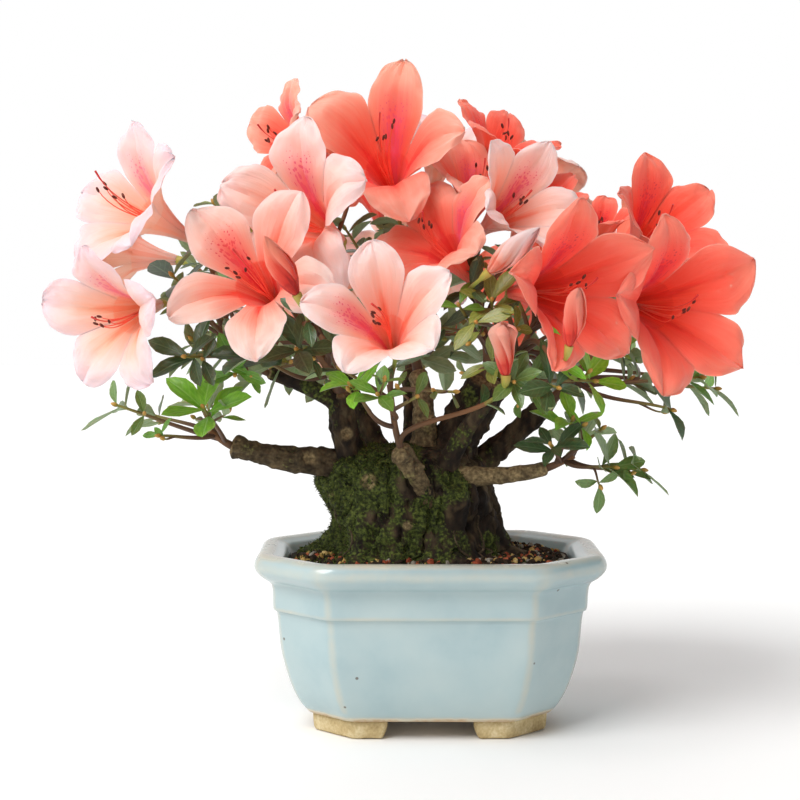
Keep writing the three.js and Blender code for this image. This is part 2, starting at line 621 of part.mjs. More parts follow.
/** The leafy shoots of a mass; a shoot or leaf that would come too near anything else is skipped. */
function shoots(mass, bough, obstacles) {
  const random = seededStream(mass.seed);
  const branches = branchPoints(stemCurve(mass, bough), mass.shoots.length, SHOOT_BRANCHING);
  const clear = (solid, others) => others.every((other) => solid.minGap(other, 2 * CLEARANCE) > CLEARANCE);
  const grown = [];
  mass.shoots.forEach((place, k) => {
    const tip = vec(place);
    const { point } = branches[k];
    const along = tip.clone().sub(point).normalize();
    const sway = new THREE.Vector3(random() - 0.5, random() - 0.5, random() - 0.5);
    const curve = twigCurve(point, along.clone().add(sway).normalize(), tip, along);
    const stalk = twig(curve, [TWIG_RADIUS, TWIG_TIP]);
    const leaves = whorl(curve, random);
    if (!clear(stalk, [obstacles])) return;
    const around = [obstacles, ...grown];
    for (const blade of leaves) {
      if (clear(blade, around)) around.push(blade);
    }
    grown.push(stalk, ...around.slice(grown.length + 1));
  });
  return grown;
}

/** Everything above the fork: boughs seated on the trunk, then the masses, each clear of the rest. */
function crown(trunkGrown) {
  const solids = [];
  const limbsGrown = [trunkGrown];
  for (const bough of BOUGHS) {
    solids.push({ name: bough.name, look: 'bark', solid: mainBody(cut(boughSolid(bough), limbsGrown)) });
    limbsGrown.push(boughSolid(bough, CLEARANCE));
  }
  const limbs = join(limbsGrown);
  const grown = MASSES.map((mass) => {
    const bough = BOUGHS.find(({ name }) => name === mass.bough);
    const frameGrown = join(framework(mass, bough, CLEARANCE));
    return { mass, bough, frame: framework(mass, bough), frameGrown };
  });
  const corollasGrown = [];
  for (const item of grown) {
    const others = grown.filter((other) => other !== item).map((other) => other.frameGrown);
    const cutters = [limbs, ...others, ...corollasGrown];
    item.corollas = item.mass.flowers.map((flower) => mainBody(cut(corolla(flower), cutters)));
    corollasGrown.push(...item.mass.flowers.map((flower) => corolla(flower, PETAL_CLEARANCE)));
  }
  const whole = grown.map((item) => join([...item.frame, ...item.corollas]));
  grown.forEach((item, i) => {
    const obstacles = join([limbs, ...item.corollas, ...whole.filter((_, other) => other !== i)]);
    whole[i] = join([whole[i], ...shoots(item.mass, item.bough, obstacles)]);
    solids.push({ name: item.mass.name, look: item.mass.look, solid: mainBody(whole[i]) });
  });
  return solids;
}

const bonsai = new THREE.Group();
bonsai.add(meshOf('pot_body', potBody(), 'glaze'));
for (const [side, sx] of [['left', -1], ['right', 1]]) {
  for (const [end, sy] of [['front', -1], ['back', 1]]) {
    bonsai.add(meshOf(`pot_foot_${end}_${side}`, potFoot(sx, sy), 'clay'));
  }
}
bonsai.add(meshOf('soil', soil(), 'soil'));
bonsai.add(meshOf('trunk', trunk(), 'bark'));
for (const { name, look, solid } of crown(trunk(CLEARANCE))) {
  bonsai.add(meshOf(name, solid, look));
}

const bounds = new THREE.Box3().setFromObject(bonsai);
bonsai.position.set(-(bounds.min.x + bounds.max.x) / 2, -(bounds.min.y + bounds.max.y) / 2, -bounds.min.z);

export default bonsai;
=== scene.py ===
"""An azalea bonsai in flower in a glazed pot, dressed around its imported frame.

Lengths are millimetres about the middle of the pot's footprint on the table: +X to the right, -Y
to the front and +Z up. Points become the frame's metres only when a piece is made.
"""

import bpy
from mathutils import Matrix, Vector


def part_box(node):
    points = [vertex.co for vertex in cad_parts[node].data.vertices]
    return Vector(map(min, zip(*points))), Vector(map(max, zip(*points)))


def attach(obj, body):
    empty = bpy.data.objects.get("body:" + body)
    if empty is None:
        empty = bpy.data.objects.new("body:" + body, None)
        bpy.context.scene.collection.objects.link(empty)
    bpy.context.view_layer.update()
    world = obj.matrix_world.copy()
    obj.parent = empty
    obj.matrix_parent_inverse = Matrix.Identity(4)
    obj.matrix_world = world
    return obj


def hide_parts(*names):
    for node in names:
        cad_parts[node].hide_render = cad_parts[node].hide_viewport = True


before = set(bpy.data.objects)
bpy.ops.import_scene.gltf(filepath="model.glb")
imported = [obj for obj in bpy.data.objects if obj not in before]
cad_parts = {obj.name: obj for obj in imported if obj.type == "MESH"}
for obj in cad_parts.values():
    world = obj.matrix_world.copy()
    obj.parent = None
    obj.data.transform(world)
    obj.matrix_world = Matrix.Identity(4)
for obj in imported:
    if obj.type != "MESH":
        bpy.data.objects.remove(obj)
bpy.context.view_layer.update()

import logging
import math
from collections.abc import Callable, Sequence
from dataclasses import dataclass, field
from enum import Enum
from functools import partial

import bpy
import numpy as np

Array = np.ndarray
Dice = np.random.Generator
Node = bpy.types.Node
Adder = Callable[..., Node]
Span = tuple[float, float]
Point = tuple[float, float, float]

log = logging.getLogger("azalea_bonsai")

MM = 0.001
FORM_LAYER = "Form"
BAKE_LAYER = "OFBake"
SHARP_ANGLE = 62.0
TILE_MARGIN = 0.02
LATTICE_PRIMES = np.array([73856093, 19349663, 83492791])
GOLDEN_TURN = math.radians(137.5)
CRUMB_ROWS, CRUMB_SIDES = 5, 6
BLADE_SIDES = 3
BOUGH_SEED, BOUGH_SEED_STEP = 700, 31


def pot_middle() -> Array:
    """Returns the middle of the pot's footprint in the frame, in metres."""
    low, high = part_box("pot_body")
    return np.array([(low.x + high.x) / 2, (low.y + high.y) / 2, 0.0])


POT_MIDDLE = pot_middle()


def unit(vectors: Array) -> Array:
    """Returns vectors of length one, along the last axis."""
    return vectors / np.maximum(np.linalg.norm(vectors, axis=-1, keepdims=True), 1e-9)


def smooth(values: Array, low: float, high: float) -> Array:
    """Returns the smooth step of values from 0 at low to 1 at high."""
    share = np.clip((values - low) / (high - low), 0.0, 1.0)
    return share * share * (3 - 2 * share)


def bump(values: Array, middle: float, width: float) -> Array:
    """Returns a bell curve of height one about a middle."""
    return np.exp(-(((values - middle) / width) ** 2))


def full_turn(count: int) -> Array:
    """Returns even angles once round the circle."""
    return np.linspace(0, math.tau, count, endpoint=False)


def lattice_noise(points: Array, seed: int) -> Array:
    """Smooth noise: random values on the whole-number lattice, blended by the smooth step.

    Args:
        points: (..., 3) places, one lattice cell to the unit.
        seed: which lattice of values is read.

    Returns:
        (...) values from -1 to 1.
    """
    cell = np.floor(points).astype(np.int64)
    part = points - cell
    part = part * part * (3 - 2 * part)
    total = np.zeros(points.shape[:-1])
    for corner in np.ndindex(2, 2, 2):
        key = cell + np.array(corner)
        mixed = np.bitwise_xor.reduce(key * LATTICE_PRIMES, axis=-1) ^ seed * 40503
        mixed = ((mixed ^ (mixed >> 13)) * 1274126177) & 0xFFFFFFFF
        value = ((mixed ^ (mixed >> 15)) & 0xFFFF) / 32767.5 - 1
        total += value * np.prod(np.where(np.array(corner) == 1, part, 1 - part), axis=-1)
    return total


def fractal(points: Array, seed: int, octaves: int) -> Array:
    """Returns octaves of lattice noise, each twice as fine and half as strong as the last."""
    layers = [lattice_noise(points * 2.0**k + 17.3 * k, seed + k) / 2.0**k for k in range(octaves)]
    return np.sum(layers, axis=0)


@dataclass
class Patch:
    """Faces of a surface before they become a piece.

    Attributes:
        points: (n, 3) places in millimetres.
        faces: (m, 4) corners, anticlockwise from outside; a triangle repeats a corner.
        form: (m, 4, 2) coordinates of the corners on the shape's own pattern, 0 to 1.
        look: (m,) place of each face's finish in the piece's list of finishes.
    """

    points: Array
    faces: Array
    form: Array
    look: Array

    @classmethod
    def join(cls, patches: Sequence["Patch"]) -> "Patch":
        """Returns all patches as one."""
        starts = np.cumsum([0] + [len(patch.points) for patch in patches[:-1]])
        parts = [
            (patch.points, patch.faces + start, patch.form, patch.look)
            for patch, start in zip(patches, starts)
        ]
        return cls(*(np.concatenate(part) for part in zip(*parts)))


def corners_of(table: Array) -> Array:
    """Returns the four corners of each cell of a stack of grids, cell by cell."""
    cells = [table[:, :-1, :-1], table[:, :-1, 1:], table[:, 1:, 1:], table[:, 1:, :-1]]
    return np.stack(cells, axis=3)


def even_form(rows: int, columns: int) -> Array:
    """Returns (rows, columns, 2) coordinates: 0 to 1 across the columns, then along the rows."""
    along, across = np.meshgrid(np.linspace(0, 1, rows), np.linspace(0, 1, columns), indexing="ij")
    return np.stack([across, along], axis=-1)


def grid_patch(points: Array, look: int | Array = 0) -> Patch:
    """Joins with quads the points of a grid, or of equal grids, that closes round and at both ends.

    The last column joins the first, and the first and the last row are single points. A face looks
    along the column step crossed with the row step.

    Args:
        points: (..., rows, columns, 3) places.
        look: one finish, or one for each grid of the stack.

    Returns:
        The patch of all grids.
    """
    points = points.reshape((-1,) + points.shape[-3:])
    count, rows, columns = points.shape[:3]
    index = np.arange(count * rows * columns).reshape(count, rows, columns)
    index[:, (0, -1)] = index[:, (0, -1), :1]
    index = np.concatenate([index, index[..., :1]], axis=2)
    form = np.broadcast_to(even_form(rows, columns + 1), index.shape + (2,))
    faces = corners_of(index).reshape(-1, 4)
    looks = np.broadcast_to(np.asarray(look).reshape(-1, 1), (count, len(faces) // count))
    form = corners_of(form).reshape(-1, 4, 2)
    return Patch(points.reshape(-1, 3), faces, form, looks.reshape(-1))


def sheet_patch(
    points: Array,
    thickness: Array | float,
    look: int | Array,
    under: int | Array,
    poles: tuple[bool, bool] = (False, False),
) -> Patch:
    """A thin closed sheet: a grid and its underside, which share all the points of the rim.

    The underside is the grid moved by the thickness against its own normals, and a normal is the
    column step crossed with the row step.

    Args:
        points: (..., rows, columns, 3) places of the upper side.
        thickness: how far the underside lies below, for the whole sheet or for each point.
        look: finish of the upper side, or one for each sheet.
        under: finish of the underside, or one for each sheet.
        poles: whether the first and the last row are single points.

    Returns:
        The patch of all sheets.
    """
    points = points.reshape((-1,) + points.shape[-3:])
    count, rows, columns = points.shape[:3]
    normals = unit(np.cross(np.gradient(points, axis=2), np.gradient(points, axis=1)))
    below = points - normals * np.broadcast_to(thickness, points.shape[:3])[..., None]
    index = np.arange(2 * count * rows * columns).reshape(2, count, rows, columns)
    for pole, row in zip(poles, (0, -1)):
        if pole:
            index[0, :, row] = index[0, :, row, :1]
    for rim in (np.s_[:, 0], np.s_[:, -1], np.s_[:, :, 0], np.s_[:, :, -1]):
        index[1][rim] = index[0][rim]
    form = np.broadcast_to(even_form(rows, columns), (count, rows, columns, 2))
    corners = corners_of(form).reshape(-1, 4, 2)
    cells = len(corners) // count
    looks = [
        np.broadcast_to(np.asarray(side).reshape(-1, 1), (count, cells)) for side in (look, under)
    ]
    upper, lower = (corners_of(side).reshape(-1, 4) for side in index)
    return Patch(
        np.concatenate([points.reshape(-1, 3), below.reshape(-1, 3)]),
        np.concatenate([upper, lower[:, ::-1]]),
        np.concatenate([corners, corners[:, ::-1]]),
        np.concatenate([side.reshape(-1) for side in looks]),
    )


def tube_rings(path: Array, radius: Array, sides: int) -> Array:
    """Rings of points about paths: the path plus radius times the circle in its own frame.

    Its side is the tangent crossed with the world axis that the whole path runs least along.

    Args:
        path: (..., rows, 3) points.
        radius: (..., rows) or (..., rows, sides) radii.
        sides: points round a ring.

    Returns:
        (..., rows, sides, 3) places.
    """
    tangent = unit(np.gradient(path, axis=-2))
    least = np.argmin(np.abs(tangent).mean(axis=-2), axis=-1)
    side = unit(np.cross(tangent, np.eye(3)[least][..., None, :]))
    up = np.cross(tangent, side)
    angle = full_turn(sides)
    circle = side[..., None, :] * np.cos(angle)[:, None] + up[..., None, :] * np.sin(angle)[:, None]
    spread = radius if radius.ndim == path.ndim else radius[..., None]
    return path[..., None, :] + circle * spread[..., None]


def closed_rings(path: Array, rings: Array) -> Array:
    """Returns rings closed by the path's first point before them and its last one after."""
    ends = (path[..., :1, None, :], path[..., -1:, None, :])
    first, last = (np.repeat(end, rings.shape[-2], axis=-2) for end in ends)
    return np.concatenate([first, rings, last], axis=-3)


def tube_patch(path: Array, radius: Array, sides: int, look: int | Array = 0) -> Patch:
    """A closed tube along each path, its ends drawn to the path's first and last point.

    Args:
        path: (..., rows, 3) points.
        radius: (..., rows) radii.
        sides: points round the tube.
        look: one finish, or one for each tube.

    Returns:
        The patch of all tubes.
    """
    return grid_patch(closed_rings(path, tube_rings(path, radius, sides)), look)


def bezier(start: Array, leave: Array, end: Array, arrive: Array, rows: int) -> Array:
    """Twigs that leave one point along a direction and come into another along its own.

    Each is a cubic Bezier curve with inner points a third of the distance along the directions.

    Args:
        start: (..., 3) first points.
        leave: (..., 3) directions there.
        end: (..., 3) last points.
        arrive: (..., 3) directions there.
        rows: points along a twig.

    Returns:
        (..., rows, 3) places.
    """
    bend = np.linalg.norm(end - start, axis=-1, keepdims=True) / 3
    share = np.linspace(0, 1, rows)[:, None]
    weights = [(1 - share) ** 3, 3 * share * (1 - share) ** 2, 3 * share**2 * (1 - share), share**3]
    knots = [start, start + leave * bend, end - arrive * bend, end]
    return sum(knot[..., None, :] * weight for knot, weight in zip(knots, weights))


def linear(colour: str) -> tuple[float, float, float, float]:
    """Returns an sRGB hex colour as linear red, green, blue and alpha."""
    parts = np.array([int(colour[i : i + 2], 16) for i in (1, 3, 5)]) / 255
    light = np.where(parts <= 0.04045, parts / 12.92, ((parts + 0.055) / 1.055) ** 2.4)
    return (*light.tolist(), 1.0)


def add_node(
    tree: bpy.types.NodeTree,
    kind: str,
    inputs: Sequence | dict = (),
    stops: Sequence[tuple[float, str]] = (),
    **settings: object,
) -> Node:
    """Adds a node, with its settings, its inputs set or linked, and the stops of its ramp.

    Args:
        tree: the material's nodes.
        kind: the node's type, without the word that all shader nodes start with.
        inputs: nodes, sockets or plain values, by socket name or for the first sockets in order.
        stops: place and hex colour of each stop, for a colour ramp.
        **settings: the node's own properties.

    Returns:
        The new node.
    """
    node = tree.nodes.new(f"ShaderNode{kind}")
    for name, value in settings.items():
        setattr(node, name, value)
    sockets = [socket for socket in node.inputs if socket.enabled]
    if isinstance(inputs, dict):
        sockets = [next(socket for socket in sockets if socket.name == name) for name in inputs]
        inputs = inputs.values()
    for socket, value in zip(sockets, inputs):
        if isinstance(value, bpy.types.Node):
            value = next(output for output in value.outputs if output.enabled)
        if isinstance(value, bpy.types.NodeSocket):
            tree.links.new(value, socket)
        else:
            socket.default_value = value
    if stops:
        elements = node.color_ramp.elements
        while len(elements) < len(stops):
            elements.new(1.0)
        for element, (place, colour) in zip(elements, stops):
            element.position = place
            element.color = linear(colour)
    return node


@dataclass(frozen=True)
class Finish:
    """One real material, named for what it is and how its surface was made."""

    name: str

    def sockets(self, add: Adder) -> dict:
        """Returns the shader's inputs: plain values, or the nodes that vary them."""
        raise NotImplementedError

    def material(self) -> bpy.types.Material:
        """Returns the material of this finish, laid once and then shared."""
        if self.name in bpy.data.materials:
            return bpy.data.materials[self.name]
        material = bpy.data.materials.new(self.name)
        material.use_nodes = True
        material.node_tree.nodes.clear()
        add = partial(add_node, material.node_tree)
        add("OutputMaterial", {"Surface": add("BsdfPrincipled", self.sockets(add))})
        return material


@dataclass(frozen=True)
class GlazedStoneware(Finish):
    """Stoneware dipped in a pale blue glaze and fired: glassy, and cream where it runs thin."""

    pooled: str = "#9bb2b6"
    blue: str = "#a6babc"
    pale: str = "#aebfbf"
    thin: str = "#c8bfa8"
    worn: str = "#b99c78"
    speck: str = "#5b4a3c"
    mottle: float = 26.0
    pinhole: float = 16.0
    grain: float = 2.6
    ripple: float = 0.25

    def sockets(self, add: Adder) -> dict:
        """Returns a cloudy blue, cream and then tan where the glaze is thin, with iron specks."""
        place = add("TexCoord").outputs["Object"]
        cloud = add("TexNoise", (place, 1 / (self.mottle * MM), 4.0))
        blues = [(0.32, self.pooled), (0.5, self.blue), (0.72, self.pale)]
        glaze = add("ValToRGB", (cloud,), blues)
        film = add("Attribute", attribute_name="thin").outputs["Fac"]
        grain = add("TexNoise", (place, 1 / (self.grain * MM), 5.0))
        broken = add("MapRange", (grain, 0.3, 0.66, 0.8, 1.05))
        bare = add("Math", (film, broken), operation="MULTIPLY", use_clamp=True)
        edge = add("ValToRGB", (bare,), [(0.0, self.thin), (0.72, self.thin), (1.0, self.worn)])
        share = add("MapRange", (bare, 0.12, 0.7))
        coat = add("Mix", (share, glaze, edge), data_type="RGBA")
        pores = add("TexVoronoi", {"Vector": place, "Scale": 1 / (self.pinhole * MM)})
        spots = add("MapRange", (pores, 0.03, 0.05, 0.8, 0.0))
        colour = add("Mix", (spots, coat, linear(self.speck)), data_type="RGBA")
        ripple = add("Bump", {"Height": grain, "Strength": 0.12, "Distance": self.ripple * MM})
        dull = add("MapRange", (bare, 0.0, 1.0, 0.16, 0.42))
        return {
            "Base Color": colour,
            "Roughness": dull,
            "Normal": ripple,
            "IOR": 1.5,
            "Coat Weight": 0.25,
        }


@dataclass(frozen=True)
class GrainedSolid(Finish):
    """A matt broken surface, such as fired clay or soil: two grains over three colours."""

    dark: str
    middle: str
    light: str
    grain: float
    fine: float
    relief: float = 0.4
    roughness: float = 0.9

    def sockets(self, add: Adder) -> dict:
        """Returns colours clouded by the coarse grain and pitted by the fine one."""
        place = add("TexCoord").outputs["Object"]
        coarse = add("TexNoise", (place, 1 / (self.grain * MM), 5.0))
        pits = add("TexNoise", (place, 1 / (self.fine * MM), 3.0))
        both = add("Mix", (0.4, coarse, pits), data_type="FLOAT")
        earths = [(0.34, self.dark), (0.5, self.middle), (0.66, self.light)]
        colour = add("ValToRGB", (both,), earths)
        bumps = add("Bump", {"Height": both, "Strength": 0.6, "Distance": self.relief * MM})
        return {
            "Base Color": colour,
            "Roughness": self.roughness,
            "Normal": bumps,
            "Specular IOR Level": 0.25,
        }


@dataclass(frozen=True)
class MossyBark(Finish):
    """Old azalea bark, split into dark upright flakes, with moss over it and pale cut wood."""

    fissure: str = "#140d08"
    flake: str = "#2a1f15"
    weathered: str = "#594b35"
    moss_dark: str = "#1a1e0c"
    moss_middle: str = "#384118"
    moss_light: str = "#5f692d"
    old_wood: str = "#7d6b4c"
    wood: str = "#a9936a"
    flake_width: float = 5.0
    crumb: float = 1.3
    relief: float = 0.9

    def sockets(self, add: Adder) -> dict:
        """Returns flakes of bark, under moss and bare wood where their attributes say so."""
        place = add("TexCoord").outputs["Object"]
        upright = add("Mapping", {"Vector": place, "Scale": (1.0, 1.0, 0.4)})
        flakes = add("TexNoise", (upright, 1 / (self.flake_width * MM), 7.0))
        crumbs = add("TexNoise", (place, 1 / (self.crumb * MM), 4.0))
        browns = [(0.36, self.fissure), (0.5, self.flake), (0.72, self.weathered)]
        greens = [(0.34, self.moss_dark), (0.5, self.moss_middle), (0.68, self.moss_light)]
        straws = [(0.3, self.weathered), (0.48, self.old_wood), (0.7, self.wood)]
        bark = add("ValToRGB", (flakes,), browns)
        moss = add("ValToRGB", (crumbs,), greens)
        wood = add("ValToRGB", (crumbs,), straws)
        grown = add("Attribute", attribute_name="moss").outputs["Fac"]
        sawn = add("Attribute", attribute_name="cut").outputs["Fac"]
        ragged = add("Math", (crumbs, 0.7, -0.35), operation="MULTIPLY_ADD")
        ragged = add("Math", (grown, ragged), operation="ADD")
        cover = add("MapRange", (ragged, 0.35, 0.6))
        skin = add("Mix", (cover, bark, moss), data_type="RGBA")
        colour = add("Mix", (sawn, skin, wood), data_type="RGBA")
        height = add("Mix", (0.4, flakes, crumbs), data_type="FLOAT")
        bumps = add("Bump", {"Height": height, "Strength": 0.8, "Distance": self.relief * MM})
        return {"Base Color": colour, "Roughness": 0.86, "Normal": bumps, "Specular IOR Level": 0.3}


@dataclass(frozen=True)
class StemSkin(Finish):
    """Young bark along a twig or stalk: satin, banded from its root to its tip."""

    root: str
    middle: str
    tip: str
    roughness: float = 0.6

    def sockets(self, add: Adder) -> dict:
        """Returns a colour that changes along the stem, streaked lengthwise."""
        form = add("UVMap", uv_map=FORM_LAYER)
        along = add("SeparateXYZ", (form,)).outputs["Y"]
        fibres = add("Mapping", {"Vector": form, "Scale": (14.0, 5.0, 1.0)})
        streaks = add("TexNoise", (fibres, 1.0, 3.0))
        along = add("Math", (streaks, 0.7, along), operation="MULTIPLY_ADD")
        along = add("Math", (along, 0.35), operation="SUBTRACT")
        bands = [(0.05, self.root), (0.5, self.middle), (0.95, self.tip)]
        colour = add("ValToRGB", (along,), bands)
        bumps = add("Bump", {"Height": streaks, "Strength": 0.4, "Distance": 0.2 * MM})
        return {
            "Base Color": colour,
            "Roughness": self.roughness,
            "Normal": bumps,
            "Specular IOR Level": 0.35,
        }


@dataclass(frozen=True)
class SheetSkin(Finish):
    """A thin plant tissue whose pattern follows its own midrib."""

    def form(self, add: Adder) -> tuple[Node, bpy.types.NodeSocket, Node]:
        """Returns the sheet's own coordinates, the way along it and the distance off its midrib."""
        form = add("UVMap", uv_map=FORM_LAYER)
        parts = add("SeparateXYZ", (form,)).outputs
        across = add("Math", (parts["X"], 2.0, -1.0), operation="MULTIPLY_ADD")
        return form, parts["Y"], add("Math", (across,), operation="ABSOLUTE")


@dataclass(frozen=True)
class LeafSkin(SheetSkin):
    """Azalea leaf: leathery and waxed, with a pale midrib and sunk side veins."""

    blade: str
    deep: str
    vein: str
    roughness: float = 0.36
    vein_turns: float = 44.0

    def sockets(self, add: Adder) -> dict:
        """Returns the blade's green in deeper and lighter clouds, with a light midrib and veins."""
        form, along, across = self.form(add)
        slant = add("Math", (across, -0.22, along), operation="MULTIPLY_ADD")
        ribs = add("Math", (slant, self.vein_turns), operation="MULTIPLY")
        ribs = add("Math", (ribs,), operation="SINE")
        side_veins = add("MapRange", (ribs, 0.55, 1.0, 0.0, 0.16))
        midrib = add("MapRange", (across, 0.03, 0.13, 0.5, 0.0))
        veins = add("Math", (midrib, side_veins), operation="MAXIMUM")
        cells = add("TexNoise", (form, 5.0, 4.0))
        patchy = add("MapRange", (cells, 0.35, 0.7))
        green = add("Mix", (patchy, linear(self.deep), linear(self.blade)), data_type="RGBA")
        colour = add("Mix", (veins, green, linear(self.vein)), data_type="RGBA")
        bumps = add("Bump", {"Height": veins, "Strength": 0.5, "Distance": 0.3 * MM}, invert=True)
        return {
            "Base Color": colour,
            "Roughness": self.roughness,
            "Normal": bumps,
            "Subsurface Weight": 0.08,
            "Subsurface Scale": 0.8 * MM,
        }


@dataclass(frozen=True)
class PetalSkin(SheetSkin):
    """Azalea petal: thin satin tissue that glows with the light through it, shaded throat to rim.

    The mouth is the share of the petal that lies in the funnel, and tightening draws the throat's
    colours in towards it.
    """

    throat: str
    middle: str
    body: str
    rim: str
    mark: str = ""
    mouth: float = 0.24
    tightening: float = 1.6
    freckle: float = 0.66
    wash: float = 0.62

    def sockets(self, add: Adder) -> dict:
        """Returns a colour by the way out of the throat, veined, and freckled if it is marked."""
        form, along, across = self.form(add)
        inside = add("MapRange", (along, self.mouth, 1.0, 1.0, 0.0))
        inside = add("Math", (inside, self.tightening), operation="POWER")
        limb = add("Math", (1.0, inside), operation="SUBTRACT")
        flank = add("Math", (across, 3.0), operation="POWER")
        opened = add("Math", (limb, 2.2), operation="MULTIPLY", use_clamp=True)
        flank = add("Math", (flank, opened), operation="MULTIPLY")
        within = add("Math", (1.0, flank), operation="SUBTRACT")
        depth = add("Math", (inside, within), operation="MULTIPLY")
        groove = add("MapRange", (across, 0.0, 0.24, 0.3, 0.0))
        depth = add("Math", (inside, groove, depth), operation="MULTIPLY_ADD")
        threads = add("Mapping", {"Vector": form, "Scale": (30.0, 3.0, 1.0)})
        veins = add("TexNoise", (threads, 1.0, 3.0))
        clouds = add("TexNoise", (form, 3.5, 3.0))
        stray = add("Math", (veins, 0.26, depth), operation="MULTIPLY_ADD")
        stray = add("Math", (clouds, 0.3, stray), operation="MULTIPLY_ADD")
        stray = add("Math", (stray, 0.36), operation="SUBTRACT")
        reds = [(0.0, self.rim), (0.46, self.body), (0.83, self.middle), (1.0, self.throat)]
        colour = add("ValToRGB", (stray,), reds)
        if self.mark:
            colour = self.freckled(add, form, across, limb, colour)
        bumps = add("Bump", {"Height": veins, "Strength": 0.6, "Distance": 0.5 * MM})
        return {
            "Base Color": colour,
            "Roughness": 0.6,
            "Normal": bumps,
            "Specular IOR Level": 0.26,
            "Subsurface Weight": 0.7,
            "Subsurface Radius": (1.0, 0.6, 0.5),
            "Subsurface Scale": 2.0 * MM,
            "Sheen Weight": 0.12,
        }

    def freckled(self, add: Adder, form: Node, across: Node, limb: Node, colour: Node) -> Node:
        """Lays the guide marks of the upper lobe: freckles that thicken towards the throat.

        Args:
            add: adds a node to the material.
            form: the petal's own coordinates.
            across: distance from the midrib, 0 to 1.
            limb: distance from the throat, 0 to 1.
            colour: the petal's colour without marks.

        Returns:
            The colour with the marks on it.
        """
        spread = add("MapRange", (across, 0.14, 0.62, 1.0, 0.0))
        rise = add("MapRange", (limb, 0.16, 0.68, 1.0, 0.0))
        patch = add("Math", (spread, rise), operation="MULTIPLY")
        fine = add("Mapping", {"Vector": form, "Scale": (27.0, 40.0, 1.0)})
        dots = add("TexVoronoi", {"Vector": fine, "Scale": 1.0})
        size = add("Math", (patch, self.freckle), operation="MULTIPLY")
        ink = add("Math", (size, dots), operation="SUBTRACT")
        ink = add("MapRange", (ink, -0.05, 0.08, 0.0, 0.85))
        wash = add("Math", (patch, self.wash), operation="MULTIPLY")
        ink = add("Math", (ink, wash), operation="MAXIMUM")
        return add("Mix", (ink, colour, linear(self.mark)), data_type="RGBA")


def add_object(name: str, data: bpy.types.ID) -> bpy.types.Object:
    """Returns a new object of the scene."""
    made = bpy.data.objects.new(name, data)
    bpy.context.scene.collection.objects.link(made)
    return made


def bake_tiles(form: Array, look: Array, finishes: int) -> Array:
    """Returns the pattern coordinates laid in one square tile of the bake for each finish."""
    across = math.ceil(math.sqrt(finishes))
    tile = np.stack([look % across, look // across], axis=-1)
    return (form * (1 - 2 * TILE_MARGIN) + TILE_MARGIN + tile) / across


def make_piece(
    name: str,
    patch: Patch,
    finishes: Sequence[Finish],
    nodes: Sequence[str],
    values: dict[str, Array] | None = None,
    formed: bool = False,
) -> bpy.types.Object:
    """Puts a patch into a mesh in the frame's metres, dresses it and lets it ride on the root body.

    Args:
        name: the piece's name.
        patch: its faces.
        finishes: the finishes that the patch's looks name.
        nodes: the frame's nodes that the piece stands for.
        values: point attributes that its finishes read, by name.
        formed: whether its finishes read the shape's own pattern coordinates.

    Returns:
        The piece.
    """
    keep = patch.faces != np.roll(patch.faces, 1, axis=1)
    keep &= (keep.sum(axis=1) > 2)[:, None]
    sizes = keep.sum(axis=1)
    sizes, look = sizes[sizes > 0], patch.look[sizes > 0]
    used, corners = np.unique(patch.faces[keep], return_inverse=True)
    mesh = bpy.data.meshes.new(name)
    mesh.vertices.add(len(used))
    places = patch.points[used] * MM + POT_MIDDLE
    mesh.vertices.foreach_set("co", places.astype(np.float32).ravel())
    mesh.loops.add(len(corners))
    mesh.loops.foreach_set("vertex_index", corners.astype(np.int32).ravel())
    mesh.polygons.add(len(sizes))
    starts = np.concatenate([[0], np.cumsum(sizes)[:-1]])
    mesh.polygons.foreach_set("loop_start", starts.astype(np.int32))
    mesh.polygons.foreach_set("material_index", look.astype(np.int32))
    mesh.update(calc_edges=True)
    mesh.shade_smooth()
    mesh.set_sharp_from_angle(angle=math.radians(SHARP_ANGLE))
    if formed:
        form = patch.form[keep]
        tiles = bake_tiles(form, np.repeat(look, sizes), len(finishes))
        for layer_name, spread in ((FORM_LAYER, form), (BAKE_LAYER, tiles)):
            layer = mesh.uv_layers.new(name=layer_name)
            layer.uv.foreach_set("vector", spread.astype(np.float32).ravel())
    for attribute, amounts in (values or {}).items():
        mesh.attributes.new(attribute, "FLOAT", "POINT").data.foreach_set(
            "value", amounts.reshape(-1)[used].astype(np.float32)
        )
    for finish in finishes:
        mesh.materials.append(finish.material())
    if mesh.validate():
        log.warning("%s had faulty faces", name)
    piece = add_object(name, mesh)
    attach(piece, "root")
    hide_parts(*nodes)
    log.info("%s: %d faces", name, len(sizes))
    return piece


def scattered_turns(count: int, dice: Dice) -> Array:
    """Returns (count, 3, 3) random rotations."""
    turns = np.linalg.qr(dice.normal(size=(count, 3, 3)))[0]
    return turns * np.sign(np.linalg.det(turns))[:, None, None]


